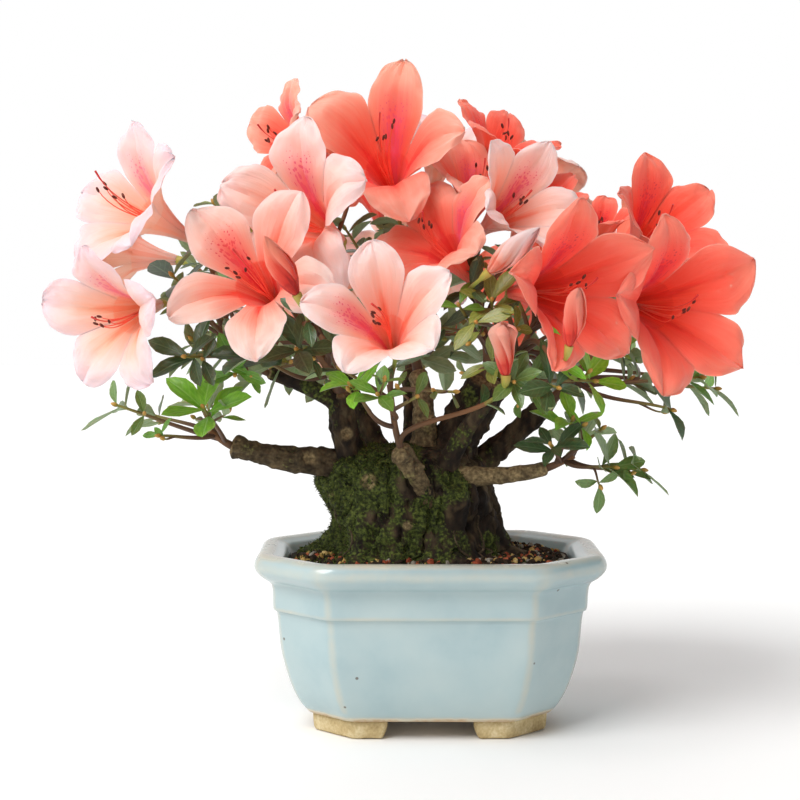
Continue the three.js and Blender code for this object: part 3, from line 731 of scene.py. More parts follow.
def crumb_patch(middles: Array, radii: Array, looks: Array, dice: Dice) -> Patch:
    """Crumbs: spheres of five rows by six columns, each pushed out of true and turned at random.

    Args:
        middles: (n, 3) places.
        radii: (n,) sizes.
        looks: (n,) finishes.
        dice: the random numbers.

    Returns:
        The patch of all crumbs.
    """
    rise = np.linspace(-math.pi / 2, math.pi / 2, CRUMB_ROWS)[:, None]
    turn = full_turn(CRUMB_SIDES)[None, :]
    level = np.cos(rise)
    ball = np.stack([level * np.cos(turn), level * np.sin(turn), np.sin(rise) + 0 * turn], axis=-1)
    count = len(middles)
    rough = dice.uniform(0.72, 1.15, (count, CRUMB_ROWS, CRUMB_SIDES))
    rough[:, (0, -1)] = rough[:, (0, -1), :1]
    stretch = dice.uniform(0.7, 1.25, (count, 1, 1, 3))
    shapes = ball * rough[..., None] * stretch * radii[:, None, None, None]
    turned = np.einsum("nrcj,nij->nrci", shapes, scattered_turns(count, dice))
    return grid_patch(turned + middles[:, None, None, :], looks)


def tuft_patch(roots: Array, normals: Array, length: Array, looks: Array, dice: Dice) -> Patch:
    """Moss: three-sided blades, each a ring of three points drawn to a leaning tip.

    Args:
        roots: (n, 3) places.
        normals: (n, 3) directions out of the ground.
        length: (n,) heights.
        looks: (n,) finishes.
        dice: the random numbers.

    Returns:
        The patch of all blades.
    """
    count = len(roots)
    along = unit(normals + dice.normal(0, 0.45, (count, 3)))
    side = unit(np.cross(along, dice.normal(size=(count, 3))))
    up = np.cross(along, side)
    turn = full_turn(BLADE_SIDES)[None, :, None]
    ring = side[:, None] * np.cos(turn) + up[:, None] * np.sin(turn)
    base = (roots - along * 0.2 * length[:, None])[:, None]
    thick = (dice.uniform(0.16, 0.28, count) * length)[:, None, None]
    tip = (roots + along * length[:, None])[:, None]
    foot, point = (np.repeat(end, BLADE_SIDES, axis=1) for end in (base, tip))
    rows = [foot, base + ring * thick + along[:, None] * 0.3, point]
    return grid_patch(np.stack(rows, axis=1), looks)


@dataclass
class Pot:
    """The eight-sided pot: a glazed body with a rolled rim and a ridge, on four bare clay feet."""

    half_width: float = 69.5
    depth_less: float = 18.8
    corner_cut: float = 25.5
    cut_taper: float = 0.43
    edge_round: float = 3.4
    rim_round: float = 4.0
    foot_height: float = 7.6
    floor: float = 7.0
    drain_radius: float = 5.0
    drain_spacing: float = 44.0
    drain_margin: float = 3.0
    drain_sides: int = 40
    foot_reach: float = 15.0
    foot_inset: float = 1.6
    foot_wall: float = 8.0
    foot_batter: float = 1.9
    foot_power: float = 0.3
    foot_rounding: float = 1.6
    foot_ends: tuple[float, ...] = (0.0, 0.15, 0.5, 1.1, 2.2)
    foot_margin: float = 4.0
    foot_rows: int = 30
    foot_sides: int = 28
    foot_ease: float = 6.0
    foot_pits: float = 0.3
    foot_pit_span: float = 6.0
    arc_points: int = 7
    side_points: int = 16
    profile_steps: int = 5
    floor_shares: tuple[float, ...] = (0.0, 0.35, 0.7, 0.94)
    rim_zone: Span = (63.0, 68.0)
    wobble: float = 0.35
    wobble_span: float = 34.0
    thin_bands: tuple[tuple[float, float, float, float, float], ...] = (
        (0.5, 72.0, 1.5, 60.0, 63.5), (0.36, 50.5, 1.0, 58.0, 60.5), (0.3, 67.6, 2.6, 66.0, 69.0),
    )
    outside: tuple[Span, ...] = (
        (48.6, 7.6), (51.6, 11.4), (54.6, 17.5), (57.2, 25.5), (59.2, 34.5), (60.6, 48),
        (62.1, 50.4), (62.5, 57.8), (63.5, 60.8), (66.9, 63), (69.2, 65.8), (69.5, 68.4),
        (68.3, 71), (66, 72.2),
    )
    inside: tuple[Span, ...] = (
        (62, 71.4), (57.4, 67), (54.6, 45), (47.5, 20), (42.5, 14.6),
    )
    glaze: Finish = GlazedStoneware("pale_blue_glazed_stoneware")
    clay: Finish = GrainedSolid(
        "unglazed_fired_clay", "#a08a60", "#bba67a", "#d3c39c", 7.0, 1.1, 0.35
    )

    def depth_and_cut(self, half_width: Array | float) -> tuple[Array | float, Array | float]:
        """Returns the half depth and the corner cut that go with a half width."""
        cut = self.corner_cut - self.cut_taper * (self.half_width - half_width)
        return half_width - self.depth_less, cut

    def outline(self, half_width: Array) -> Array:
        """The pot's plan at some half widths: eight straight sides joined by small arcs.

        An arc is the quadratic Bezier curve from edge_round before a corner to edge_round past it,
        and on the rim it is rim_round longer.

        Args:
            half_width: (rows,) half widths; depth and corner cut follow from each.

        Returns:
            (rows, columns, 2) places, anticlockwise from above.
        """
        deep, cut = self.depth_and_cut(half_width)
        x = np.stack([half_width, half_width - cut, cut - half_width, -half_width], axis=-1)
        y = np.stack([deep - cut, deep, deep, deep - cut], axis=-1)
        corner = np.stack([np.concatenate([x, x[:, ::-1]], 1), np.concatenate([y, -y], 1)], axis=-1)
        reach = self.edge_round + self.rim_round * smooth(half_width, *self.rim_zone)
        reach = reach[:, None, None]
        start = corner + unit(np.roll(corner, 1, axis=1) - corner) * reach
        end = corner + unit(np.roll(corner, -1, axis=1) - corner) * reach
        bend = np.linspace(0, 1, self.arc_points)[:, None]
        parts = [(1 - bend) ** 2, 2 * bend * (1 - bend), bend**2]
        arc = sum(knot[:, :, None] * part for knot, part in zip((start, corner, end), parts))
        share = np.linspace(0, 1, self.side_points + 2)[1:-1, None]
        side = end[:, :, None] * (1 - share) + np.roll(start, -1, axis=1)[:, :, None] * share
        return np.concatenate([arc, side], axis=2).reshape(len(half_width), -1, 2)

    def profile(self, knots: Sequence[Span], steps: int) -> Array:
        """Returns (rows, 2) half widths and heights: a Catmull-Rom curve through the knots."""
        held = np.array([knots[0], *knots, knots[-1]], float)
        share = np.linspace(0, 1, steps, endpoint=False)[:, None]
        spans = []
        for a, b, c, d in zip(held, held[1:], held[2:], held[3:]):
            bend, twist = 2 * a - 5 * b + 4 * c - d, 3 * b - a - 3 * c + d
            spans.append(0.5 * (2 * b + (c - a) * share + bend * share**2 + twist * share**3))
        return np.concatenate([*spans, held[-1:]])

    def body(self) -> None:
        """Builds the glazed body: rings of the plan over the profile, with two drain holes."""
        wall = self.profile((*self.outside, *self.inside), self.profile_steps)
        height = np.repeat(wall[:, None, 1:], self.columns, 1)
        rings = np.concatenate([self.outline(wall[:, 0]), height], axis=-1)
        shares = np.array(self.floor_shares)[:, None, None]
        drawn = np.concatenate([shares, shares, shares**0], axis=-1)
        points = np.concatenate([rings[:1] * drawn, rings, rings[-1:] * drawn[::-1]])
        swell = fractal(points / self.wobble_span, 5, 2) * self.wobble
        wall_rows = np.s_[len(drawn) : -len(drawn)]
        points[wall_rows, :, :2] += unit(points[wall_rows, :, :2]) * swell[wall_rows, :, None]
        patch, thin = grid_patch(points), {"thin": self.thin_glaze(points)}
        piece = make_piece("pot_glaze", patch, [self.glaze], ["pot_body"], thin)
        self.drill(piece)

    @property
    def columns(self) -> int:
        """Returns the points of one ring of the plan."""
        return 8 * (self.arc_points + self.side_points)

    def thin_glaze(self, points: Array) -> Array:
        """Returns how thin the glaze runs: in the bands, on the upright edges and at the foot.

        A band, on the rim's crest, the ridge or the roll, is a strength times a bell about a
        height, faded in between two half widths.

        Args:
            points: (rows, columns, 3) places on the pot.

        Returns:
            (rows, columns) values from 0 to 1.
        """
        half = np.abs(points[..., 0]).max(axis=1, keepdims=True)
        z = points[..., 2]
        bands = [
            much * bump(z, at, spread) * smooth(half, low, high)
            for much, at, spread, low, high in self.thin_bands
        ]
        foot = smooth(-z, -10.5, -8.0)
        column = np.arange(self.columns) % (self.arc_points + self.side_points)
        edge = 0.36 * bump(column[None, :], (self.arc_points - 1) / 2, 1.9) * smooth(z, 9.0, 13.0)
        ragged = 1 + 0.28 * fractal(points / 9.0, 9, 3)
        return np.clip(np.maximum.reduce([*bands, foot, edge]) * ragged, 0, 1)

    def drill(self, piece: bpy.types.Object) -> None:
        """Cuts the two drain holes through the floor with plain round cutters."""
        cutters = []
        for side in (-0.5, 0.5):
            floor = self.foot_height + self.floor
            reach = np.array([self.foot_height - self.drain_margin, floor + self.drain_margin])
            path = np.stack([np.full(2, side * self.drain_spacing), np.zeros(2), reach], axis=-1)
            patch = tube_patch(path, np.full(2, self.drain_radius), self.drain_sides)
            mesh = bpy.data.meshes.new("drain")
            faces = [
                [corner for k, corner in enumerate(face) if corner != face[k - 1]]
                for face in patch.faces.tolist()
            ]
            mesh.from_pydata((patch.points * MM + POT_MIDDLE).tolist(), [], faces)
            cutter = add_object("drain", mesh)
            cut = piece.modifiers.new("drain", "BOOLEAN")
            cut.object = cutter
            cut.solver = "EXACT"
            cutters.append(cutter)
        shaped = piece.evaluated_get(bpy.context.evaluated_depsgraph_get())
        mesh = bpy.data.meshes.new_from_object(shaped)
        piece.modifiers.clear()
        piece.data = mesh
        for cutter in cutters:
            bpy.data.objects.remove(cutter)

    def foot(self, sx: int, sy: int) -> Patch:
        """One foot: a round-edged rectangle carried along a bracket that follows a cut corner.

        The section is a superellipse as high as the foot and as wide as its wall. The path's ends
        draw in to nothing over a short rounding, and the foot draws in towards the table.

        Args:
            sx: 1 for a foot on the right, -1 on the left.
            sy: 1 for a foot at the back, -1 at the front.

        Returns:
            The foot's patch.
        """
        wide = self.outside[0][0] - self.foot_inset
        deep, cut = self.depth_and_cut(wide)
        half = self.foot_wall / 2
        slant = half * (math.sqrt(2) - 1)
        knots = np.array([
            (wide - cut - self.foot_reach, deep - half), (wide - cut - slant, deep - half),
            (wide - half, deep - cut - slant), (wide - half, deep - cut - self.foot_reach / 2),
        ])
        spans = np.concatenate([[0], np.cumsum(np.linalg.norm(np.diff(knots, axis=0), axis=1))])
        near_end = np.array(self.foot_ends)
        middle = np.linspace(self.foot_margin, spans[-1] - self.foot_margin, self.foot_rows)
        place = np.concatenate([near_end, middle, spans[-1] - near_end[::-1]])
        track = np.stack([np.interp(place, spans, knots[:, k]) for k in (0, 1)], axis=-1)
        heading = unit(np.gradient(track, axis=0))
        near = np.minimum(place, spans[-1] - place)
        swell = np.clip(1 - (1 - np.clip(near / self.foot_rounding, 0, 1)) ** 2, 0, 1) ** 0.5
        turn = full_turn(self.foot_sides)
        round_x, round_z = (
            np.sign(wave) * np.abs(wave) ** self.foot_power for wave in (np.cos(turn), np.sin(turn))
        )
        height = self.foot_height / 2 * (1 + round_z * swell[:, None])
        low = 1 - height / self.foot_height
        side = np.stack([heading[:, 1], -heading[:, 0]], axis=-1)
        drawn = round_x * (half * swell)[:, None] - self.foot_batter * 0.3 * low * np.sign(round_x)
        ends = np.sign(place - spans[-1] / 2)[:, None] * smooth(-near, -self.foot_ease, 0)[:, None]
        plan = track[:, None] + side[:, None] * drawn[..., None]
        plan = plan - heading[:, None] * (ends * low * self.foot_batter)[..., None]
        points = np.concatenate([plan * (sx, sy), height[..., None]], axis=-1)
        pits = np.abs(fractal(points / self.foot_pit_span, 40 + sx + 3 * sy, 2))
        points[..., 2] += pits * self.foot_pits * low
        if sx * sy < 0:
            points = points[:, ::-1]
        return grid_patch(points[::-1])

    def feet(self) -> None:
        """Builds the four feet."""
        for row, sy in (("front", -1), ("back", 1)):
            for column, sx in (("left", -1), ("right", 1)):
                place = f"foot_{row}_{column}"
                patch = self.foot(sx, sy)
                make_piece(f"clay_{place}", patch, [self.clay], [f"pot_{place}"])


@dataclass
class SoilBed:
    """The potting soil: a mounded bed of fine soil under loose crumbs of clay, bark and moss."""

    half_width: float = 56.6
    half_depth: float = 37.8
    corner: float = 22.4
    edge: float = 66.9
    top: float = 69.6
    bottom: float = 15.2
    shoulder: float = 0.22
    lump: float = 0.7
    lump_span: float = 7.0
    bottom_share: Span = (0.74, 0.68)
    bed_rings: int = 46
    within: float = 0.955
    crumbs: int = 2300
    crumb_radius: Span = (0.55, 1.75)
    blades: int = 2600
    blade_length: Span = (0.9, 2.2)
    fresh_share: float = 0.55
    seed: int = 401
    earth: Finish = GrainedSolid(
        "moist_potting_soil", "#120d0a", "#2b2018", "#54402d", 3.5, 0.9, 0.7
    )
    crumb_finishes: tuple[Finish, ...] = (
        GrainedSolid("dark_soil_crumb", "#17110d", "#30241a", "#4c3a29", 3.0, 0.7),
        GrainedSolid("red_clay_crumb", "#6b2f1e", "#a34f34", "#c2714d", 3.0, 0.7),
        GrainedSolid("ochre_clay_crumb", "#8d6d38", "#bd9a58", "#dcc38a", 3.0, 0.7),
        GrainedSolid("grey_pumice_crumb", "#5b554c", "#8e877b", "#b9b2a4", 3.0, 0.7),
    )
    crumb_shares: tuple[float, ...] = (0.58, 0.17, 0.15, 0.1)
    moss: tuple[Finish, ...] = (
        GrainedSolid("dark_moss", "#20260f", "#363e18", "#4e5722", 4.0, 0.8, 0.2),
        GrainedSolid("fresh_moss", "#363f19", "#4f5b25", "#73803a", 4.0, 0.8, 0.2),
    )

    def gauge(self, x: Array, y: Array) -> Array:
        """Returns 0 in the middle of the pot to 1 at its inner wall, by the eight-sided plan."""
        slant = (np.abs(x) + np.abs(y)) / (self.half_width + self.half_depth - self.corner)
        return np.maximum.reduce([np.abs(x) / self.half_width, np.abs(y) / self.half_depth, slant])

    def level(self, x: Array, y: Array) -> Array:
        """Returns the soil's height: a low mound about the trunk, broken by noise."""
        inward = 1 - self.gauge(x, y)
        mound = self.edge + (self.top - self.edge) * smooth(inward, 0.0, self.shoulder)
        place = np.stack([x, y, np.zeros_like(x)], axis=-1)
        return mound + self.lump * fractal(place / self.lump_span, 71, 3) * smooth(inward, 0, 0.06)

    def bed(self, pot: Pot) -> None:
        """Builds the bed: rings of the pot's plan drawn in to the middle, closed below."""
        rim = pot.outline(np.array([self.half_width]))[0]
        share = np.concatenate([[1.0, 1.0], np.linspace(1.0, 0.0, self.bed_rings) ** 0.8])
        share = share[:, None, None]
        points = np.concatenate([rim[None] * share, np.zeros((len(share), len(rim), 1))], axis=-1)
        points[2:, :, 2] = self.level(points[2:, :, 0], points[2:, :, 1])
        points[:2] *= (*self.bottom_share, 1)
        points[:2, :, 2] = self.bottom
        points[0, :, :2] = 0
        make_piece("soil_bed", grid_patch(points), [self.earth], ["soil"])

    def spots(self, count: int, dice: Dice) -> Array:
        """Returns (count, 2) random places within the pot's wall."""
        tries = dice.uniform(-1, 1, (count * 3, 2)) * (self.half_width, self.half_depth)
        return tries[self.gauge(tries[:, 0], tries[:, 1]) < self.within][:count]

    def litter(self) -> None:
        """Builds the loose crumbs, half sunk, a finish for each kind, and the moss among them."""
        dice = np.random.default_rng(self.seed)
        spots = self.spots(self.crumbs, dice)
        small, large = self.crumb_radius
        radii = small + (large - small) * dice.uniform(0, 1, len(spots)) ** 2
        looks = dice.choice(len(self.crumb_shares), len(spots), p=self.crumb_shares)
        middles = np.column_stack([spots, self.level(spots[:, 0], spots[:, 1]) + 0.25 * radii])
        patch = crumb_patch(middles, radii, looks, dice)
        make_piece("soil_crumbs", patch, self.crumb_finishes, ["soil"])
        spots = self.spots(self.blades * 2, dice)
        ground = np.column_stack([spots, self.level(spots[:, 0], spots[:, 1])])
        grown = fractal(ground / 16.0, 83, 2) - spots[:, 0] / 60 + dice.normal(0, 0.15, len(spots))
        ground = ground[np.argsort(-grown)][: self.blades]
        up = np.tile((0.0, 0.0, 1.0), (len(ground), 1))
        looks = (dice.uniform(size=len(ground)) < self.fresh_share).astype(int)
        patch = tuft_patch(ground, up, dice.uniform(*self.blade_length, len(ground)), looks, dice)
        make_piece("soil_moss", patch, self.moss, ["soil"])


@dataclass(frozen=True)
class Knot:
    """A healed cut in the bark: a raised ring of callus round a sunk face of old wood."""

    at: Point
    radius: float
    height: float = 1.2

    def away(self, points: Array) -> Array:
        """Returns the distance of points from the knot's middle, 1 at its edge."""
        return np.linalg.norm(points - np.array(self.at), axis=-1) / self.radius

    def lift(self, points: Array) -> Array:
        """Returns how far it raises the bark: a ring three quarters out, less a sunk middle."""
        away = self.away(points)
        return self.height * (bump(away, 0.75, 0.3) - 0.5 * smooth(-away, -0.6, -0.3))

    def face(self, points: Array) -> Array:
        """Returns 1 on the bare face of the cut, and 0 outside it and in its rotted heart."""
        away = self.away(points)
        return 0.8 * smooth(-away, -0.62, -0.4) * smooth(away, 0.1, 0.3)


@dataclass
class Trunk:
    """The stump: a stout body of fused strands, with root flare, knots, moss and rootlets."""

    soil: float = 70.0
    crown: float = 114.5
    rings: tuple[tuple[float, float, float, float], ...] = (
        (68.6, -5, 38.5, 29.5), (70.3, -5, 37, 28.5), (74, -5.5, 34, 26), (82, -7, 32.5, 25),
        (91, -8, 33, 25), (100, -10, 34, 25), (107, -10, 31.5, 23), (112, -9, 24, 18),
        (114.5, -9, 0, 0),
    )
    middle_x: float = -7.0
    roots: int = 6
    root_turn: float = 0.8
    flare: float = 0.075
    knobs: float = 0.05
    knob_waves: int = 3
    knob_twist: float = 7.0
    strands: int = 9
    strand_height: float = 1.5
    crack_depth: float = 2.6
    crack_width: float = 0.13
    crack_span: Point = (5.5, 5.5, 19.0)
    lump_height: float = 2.0
    lump_span: float = 12.0
    grain_height: float = 0.55
    grain_span: float = 2.4
    buttress: float = 5.0
    buttress_fade: float = 4.5
    rows: int = 130
    columns: int = 300
    moss_cover: tuple[float, float, float, float] = (0.47, 0.38, 0.24, 0.6)
    moss_span: float = 11.0
    tufts: int = 6200
    tuft_length: Span = (0.5, 1.25)
    rootlets: int = 8
    rootlet_points: int = 40
    rootlet_radius: Span = (0.45, 0.95)
    rootlet_foot: int = 3
    rootlet_heads: tuple[int, int] = (38, 84)
    rootlet_drift: float = 13.0
    rootlet_sway: float = 5.0
    rootlet_waves: Span = (4.0, 9.0)
    rootlet_rise: float = 0.3
    rootlet_sides: int = 8
    rootlet_blur: tuple[int, ...] = (1, 2, 3, 2, 1)
    seed: int = 211
    knots: tuple[Knot, ...] = (
        Knot((-24.0, -22.0, 101.0), 6.0), Knot((8.0, -22.5, 94.0), 4.6),
        Knot((-9.0, -26.0, 84.0), 3.6), Knot((-38.0, -9.0, 95.0), 5.2),
        Knot((14.0, 19.0, 96.0), 5.5), Knot((-22.0, 21.0, 90.0), 5.0),
    )
    bark: Finish = MossyBark("mossy_old_bark")
    rootlet: Finish = GrainedSolid(
        "dry_grey_rootlet", "#2c241b", "#4c4030", "#6e604b", 4.0, 0.8, 0.2
    )

    def skin(self) -> tuple[Array, Array]:
        """The trunk's surface: an ellipse at each height, swollen by roots and knobs, with relief.

        The relief adds upright strands, fissures where a stretched noise crosses nothing, lumps,
        grain, buttresses that die away above the soil, and the knots.

        Returns:
            (rows, columns, 3) places and the bare face of the cuts, 0 to 1.
        """
        table = np.array(self.rings)
        climbs = np.hypot(np.diff(table[:, 0]), np.diff(table[:, 2]))
        spans = np.concatenate([[0], np.cumsum(climbs)])
        shares = np.linspace(0, 1, self.rows) ** 1.05
        steps = np.interp(shares, np.linspace(0, 1, len(spans)), spans)
        z, x, wide, deep = (np.interp(steps, spans, table[:, k])[:, None] for k in range(4))
        turn = full_turn(self.columns)[None, :]
        rise = (z - self.soil) / (self.crown - self.soil)
        swell = 1 + self.flare * (1 - rise) ** 2 * np.cos(self.roots * turn + self.root_turn)
        knob = self.knobs * np.sin(self.knob_waves * turn + self.knob_twist * rise)
        swell = swell + knob * np.sin(math.pi * np.clip(rise, 0, 1))
        out = np.stack(np.broadcast_arrays(np.cos(turn), np.sin(turn), 0 * z), axis=-1)
        size = np.stack([wide * swell, deep * swell, 0 * swell], axis=-1)
        points = out * size + np.stack([x + 0 * turn, 0 * x * turn, z + 0 * turn], axis=-1)
        crack = fractal(points / self.crack_span, self.seed, 3)
        strand = np.abs(np.sin(self.strands / 2 * turn + 1.4 * rise + 1.1 * crack)) ** 0.7
        root = self.buttress * np.clip(np.cos(self.roots * turn + self.root_turn), 0, 1) ** 2
        relief = (
            self.strand_height * strand
            - self.crack_depth * bump(crack, 0.0, self.crack_width)
            + self.lump_height * fractal(points / self.lump_span, self.seed + 9, 3)
            + self.grain_height * fractal(points / self.grain_span, self.seed + 21, 3)
            + root * np.exp(-np.clip(z - self.soil, 0, None) / self.buttress_fade)
            + sum(knot.lift(points) for knot in self.knots)
        )
        inward = smooth(wide, 0.0, 20.0)
        points = points + out * (relief * inward)[..., None]
        points[..., 2] += relief * (1 - inward) * 0.8
        cut = np.max([knot.face(points) for knot in self.knots], axis=0)
        foot = points[:1] * (0, 0, 1) + (x[0, 0], 0, 0)
        return np.concatenate([foot, points]), np.concatenate([cut[:1], cut])

    def moss(self, points: Array) -> Array:
        """Returns the moss cover, 0 to 1: patches of noise, thickest on the left and in front."""
        left, front = np.moveaxis(-unit(points[..., :2] - (self.middle_x, 0.0)), -1, 0)
        patches = fractal(points / self.moss_span, self.seed + 40, 3)
        even, by_left, by_front, by_patch = self.moss_cover
        return np.clip(even + by_left * left + by_front * front + by_patch * patches, 0, 1)

    def build(self) -> None:
        """Builds the bark, the tufts of moss on it and the rootlets that run down it."""
        points, cut = self.skin()
        moss = self.moss(points)
        values = {"moss": moss, "cut": cut}
        make_piece("trunk_bark", grid_patch(points), [self.bark], ["trunk"], values)
        self.grow_moss(points, moss)
        self.run_rootlets(points)

    def grow_moss(self, points: Array, moss: Array) -> None:
        """Sets tufts of moss on the mossiest bark, leaning out along its normals, with extra
        lighter moss on the lit left side as painted light.
        """
        dice = np.random.default_rng(self.seed)
        across = np.roll(points, -1, axis=1) - np.roll(points, 1, axis=1)
        normals = unit(np.cross(across, np.gradient(points, axis=0))).reshape(-1, 3)
        weight = smooth(moss, 0.42, 0.8).reshape(-1) * (points[..., 2].reshape(-1) > self.soil - 1)
        chosen = dice.choice(len(weight), self.tufts, p=weight / weight.sum())
        roots = points.reshape(-1, 3)[chosen] + dice.normal(0, 0.25, (self.tufts, 3))
        # A quarter of the tufts take the lighter fresh moss at random. On the left, where the light
        # falls, three quarters do: that extra lighter moss is painted light.
        looks = (dice.uniform(size=self.tufts) < 0.25 + 0.5 * (roots[:, 0] < -14)).astype(int)
        length = dice.uniform(*self.tuft_length, self.tufts)
        patch = tuft_patch(roots, normals[chosen], length, looks, dice)
        make_piece("trunk_moss", patch, SoilBed.moss, ["trunk"])

    def run_rootlets(self, points: Array) -> None:
        """Lays thin dry roots down the bark: each follows one column of the surface as it sways."""
        dice = np.random.default_rng(self.seed + 1)
        height = dice.integers(*self.rootlet_heads, self.rootlets)[:, None]
        share = np.linspace(0, 1, self.rootlet_points)[None, :]
        row = np.rint(self.rootlet_foot + (height - self.rootlet_foot) * share).astype(int)
        turn = dice.uniform(0.5, 1.0, (self.rootlets, 1)) * self.columns
        drift = dice.uniform(-self.rootlet_drift, self.rootlet_drift, (self.rootlets, 1)) * share
        waves = np.sin(share * dice.uniform(*self.rootlet_waves, (self.rootlets, 1)) + turn)
        sway = drift + self.rootlet_sway * waves
        column = np.rint(turn + sway).astype(int) % self.columns
        path = points[row, column]
        path = path + unit(path - (self.middle_x, 0.0, 0.0)) * (1, 1, 0) * self.rootlet_rise
        blur = np.array(self.rootlet_blur) / sum(self.rootlet_blur)
        kept = self.rootlet_points - len(blur) + 1
        path[:, 2:-2] = sum(weight * path[:, k : k + kept] for k, weight in enumerate(blur))
        radius = dice.uniform(*self.rootlet_radius, (self.rootlets, 1)) * (1.15 - 0.7 * share)
        patch = tube_patch(path, radius, self.rootlet_sides)
        make_piece("trunk_rootlets", patch, [self.rootlet], ["trunk"])


@dataclass
class Bough:
    """One limb: a knobby tapering tube that swells into the trunk and ends in a healed stub.

    Moss and pale are how much of it is mossy and how much is bare wood, collar is how far it swells
    into the trunk, and knobby is the strength of its relief.
    """

    name: str
    radius: Span
    path: tuple[Point, Point, Point]
    moss: float = 0.3
    knots: tuple[Knot, ...] = ()
    pale: float = 0.0
    collar: float = 0.5
    knobby: float = 1.0
    rows: int = 84
    sides: int = 56
    nodes_apart: float = 9.0
    collar_reach: float = 6.0
    lump: float = 0.14
    lump_span: float = 5.0
    fissure: float = 0.1
    fissure_span: float = 3.2
    grain: float = 0.05
    grain_span: float = 1.5
    node: float = 0.06

    def curve(self, share: Array) -> Array:
        """Returns (rows, 3) points of the limb's middle line, a parabola through three points."""
        first, middle, last = np.array(self.path)
        share = share[:, None]
        return (
            first * 2 * (share - 0.5) * (share - 1)
            + middle * 4 * share * (1 - share)
            + last * 2 * share * (share - 0.5)
        )

    def tip(self) -> tuple[Array, Array]:
        """Returns the limb's last point and the direction in which it ends."""
        end = self.curve(np.array([0.96, 1.0]))
        return end[1], unit(end[1] - end[0])

    def build(self, seed: int, bark: Finish) -> None:
        """Builds the limb: a tube whose radius is its taper, collar and stub end, times the relief.

        The relief is lumps, fissures and grain, drawn out lengthwise in coordinates round and along
        the limb, and a swelling at each old node. The knots are added to it.

        Args:
            seed: which noise its bark is cut from.
            bark: the bark's finish.
        """
        share = 1 - (1 - np.linspace(0, 1, self.rows)) ** 1.25
        line = self.curve(share)
        reach = np.linalg.norm(np.diff(line, axis=0), axis=1).sum()
        taper = self.radius[0] + (self.radius[1] - self.radius[0]) * share
        taper = taper * (1 + self.collar * np.exp(-share * reach / self.collar_reach))
        left = (1 - share) * reach / (0.8 * self.radius[1])
        taper = taper * np.clip(1 - (1 - np.clip(left, 0, 1)) ** 2.4, 0.0, 1) ** 0.5
        rings = tube_rings(line, taper, self.sides)
        turn = full_turn(self.sides)
        around = taper[:, None] * np.stack([np.cos(turn), np.sin(turn)])[:, None]
        place = np.stack(np.broadcast_arrays(*around, 0.4 * (share * reach)[:, None]), axis=-1)
        cracks = bump(fractal(place / self.fissure_span, seed, 3), 0.0, 0.14)
        along = (share * reach / self.nodes_apart + 0.35 * np.sin(seed)) % 1.0
        nodes = bump(along, 0.5, 0.16)[:, None]
        swell = self.lump * fractal(place / self.lump_span, seed + 5, 3) - self.fissure * cracks
        swell = swell + self.grain * fractal(place / self.grain_span, seed + 8, 2)
        swell = swell + self.node * nodes * (1 + 2 * fractal(rings / 4.0, seed + 13, 2))
        swell = self.knobby * swell
        lift = sum((knot.lift(rings) for knot in self.knots), np.zeros(rings.shape[:2]))
        girth = taper[:, None]
        rings = tube_rings(line, girth * (1 + swell) + lift * (girth > 0.5), self.sides)
        points = closed_rings(line, rings)
        cover = np.clip(self.moss + 0.45 * fractal(points / 8.0, seed + 17, 3), 0, 1)
        cut = np.repeat(0.85 * smooth(-left, -0.75, -0.2)[:, None], self.sides, axis=1)
        bare = np.clip(self.pale + 0.5 * self.pale * fractal(rings / 3.0, seed + 19, 3), 0, 1)
        cut = np.maximum.reduce([cut, bare] + [knot.face(rings) for knot in self.knots])
        cut = np.concatenate([cut[:1], cut, cut[-1:]])
        node_name, values = f"bough_{self.name}", {"moss": cover, "cut": cut}
        make_piece(f"{node_name}_bark", grid_patch(points), [bark], [node_name], values)


BOUGHS = (
    Bough("left_low", (5.2, 3.6), ((-30, -4, 105), (-58, -9, 109), (-79, -12, 114)), 0.04,
          (Knot((-77.0, -14.0, 116.0), 4.5, 1.2), Knot((-48.0, -12.0, 109.0), 5.0, 1.0)), 0.2,
          knobby=1.3),
    Bough("left_upright", (6.7, 4.7), ((-29, -4, 102), (-34, -7, 120), (-36, -11, 136)), 0.16,
          (Knot((-33.0, -14.5, 119.0), 5.0, 1.5),)),
    Bough("left_branch", (3.2, 2.4), ((-36, -10, 131), (-52, -12, 139), (-64, -16, 143)), 0.25),
    Bough("centre", (5, 3.6), ((-4, -2, 104), (-2, -2, 124), (-5, 0, 144)), 0.08, pale=0.7),
    Bough("front_stub", (3.0, 3.8), ((3, -13, 86), (-4, -25.5, 100), (-12, -36, 116)), 0.26,
          (Knot((-12.0, -39.0, 112.0), 3.6, 1.1), Knot((-5.0, -34.0, 107.0), 3.0, 0.9)), 0.42,
          collar=0.0, knobby=2.2),
    Bough("right_upright", (10.5, 6.8), ((6, 2, 104), (15, 0, 124), (24, -6, 141)), 0.1),
    Bough("right_inner", (3.6, 2.6), ((6, -16, 107), (15, -22, 123), (26, -27, 137)), 0.12),
    Bough("right_back", (5.8, 4), ((16, 6, 101), (33, 7, 116), (48, 2, 130)), 0.06),
    Bough("right_low", (3.6, 2.7), ((10, -14, 102), (30, -17, 103), (46, -19, 106)), 0.02,
          pale=0.75, knobby=0.6),
    Bough("back_left", (5, 3.4), ((-18, 10, 104), (-27, 18, 122), (-36, 27, 141)), 0.3),
    Bough("back_centre", (5.4, 3.6), ((-8, 14, 103), (-6, 22, 122), (-8, 33, 142)), 0.25),
    Bough("back_right", (5.2, 3.6), ((8, 14, 102), (20, 21, 121), (34, 30, 140)), 0.2),
)


@dataclass(frozen=True)
class BloomColours:
    """Colours of one kind of bloom, from the throat out to the rim, then its back and its marks."""

    throat: str
    middle: str
    body: str
    rim: str
    back: str
    mark: str


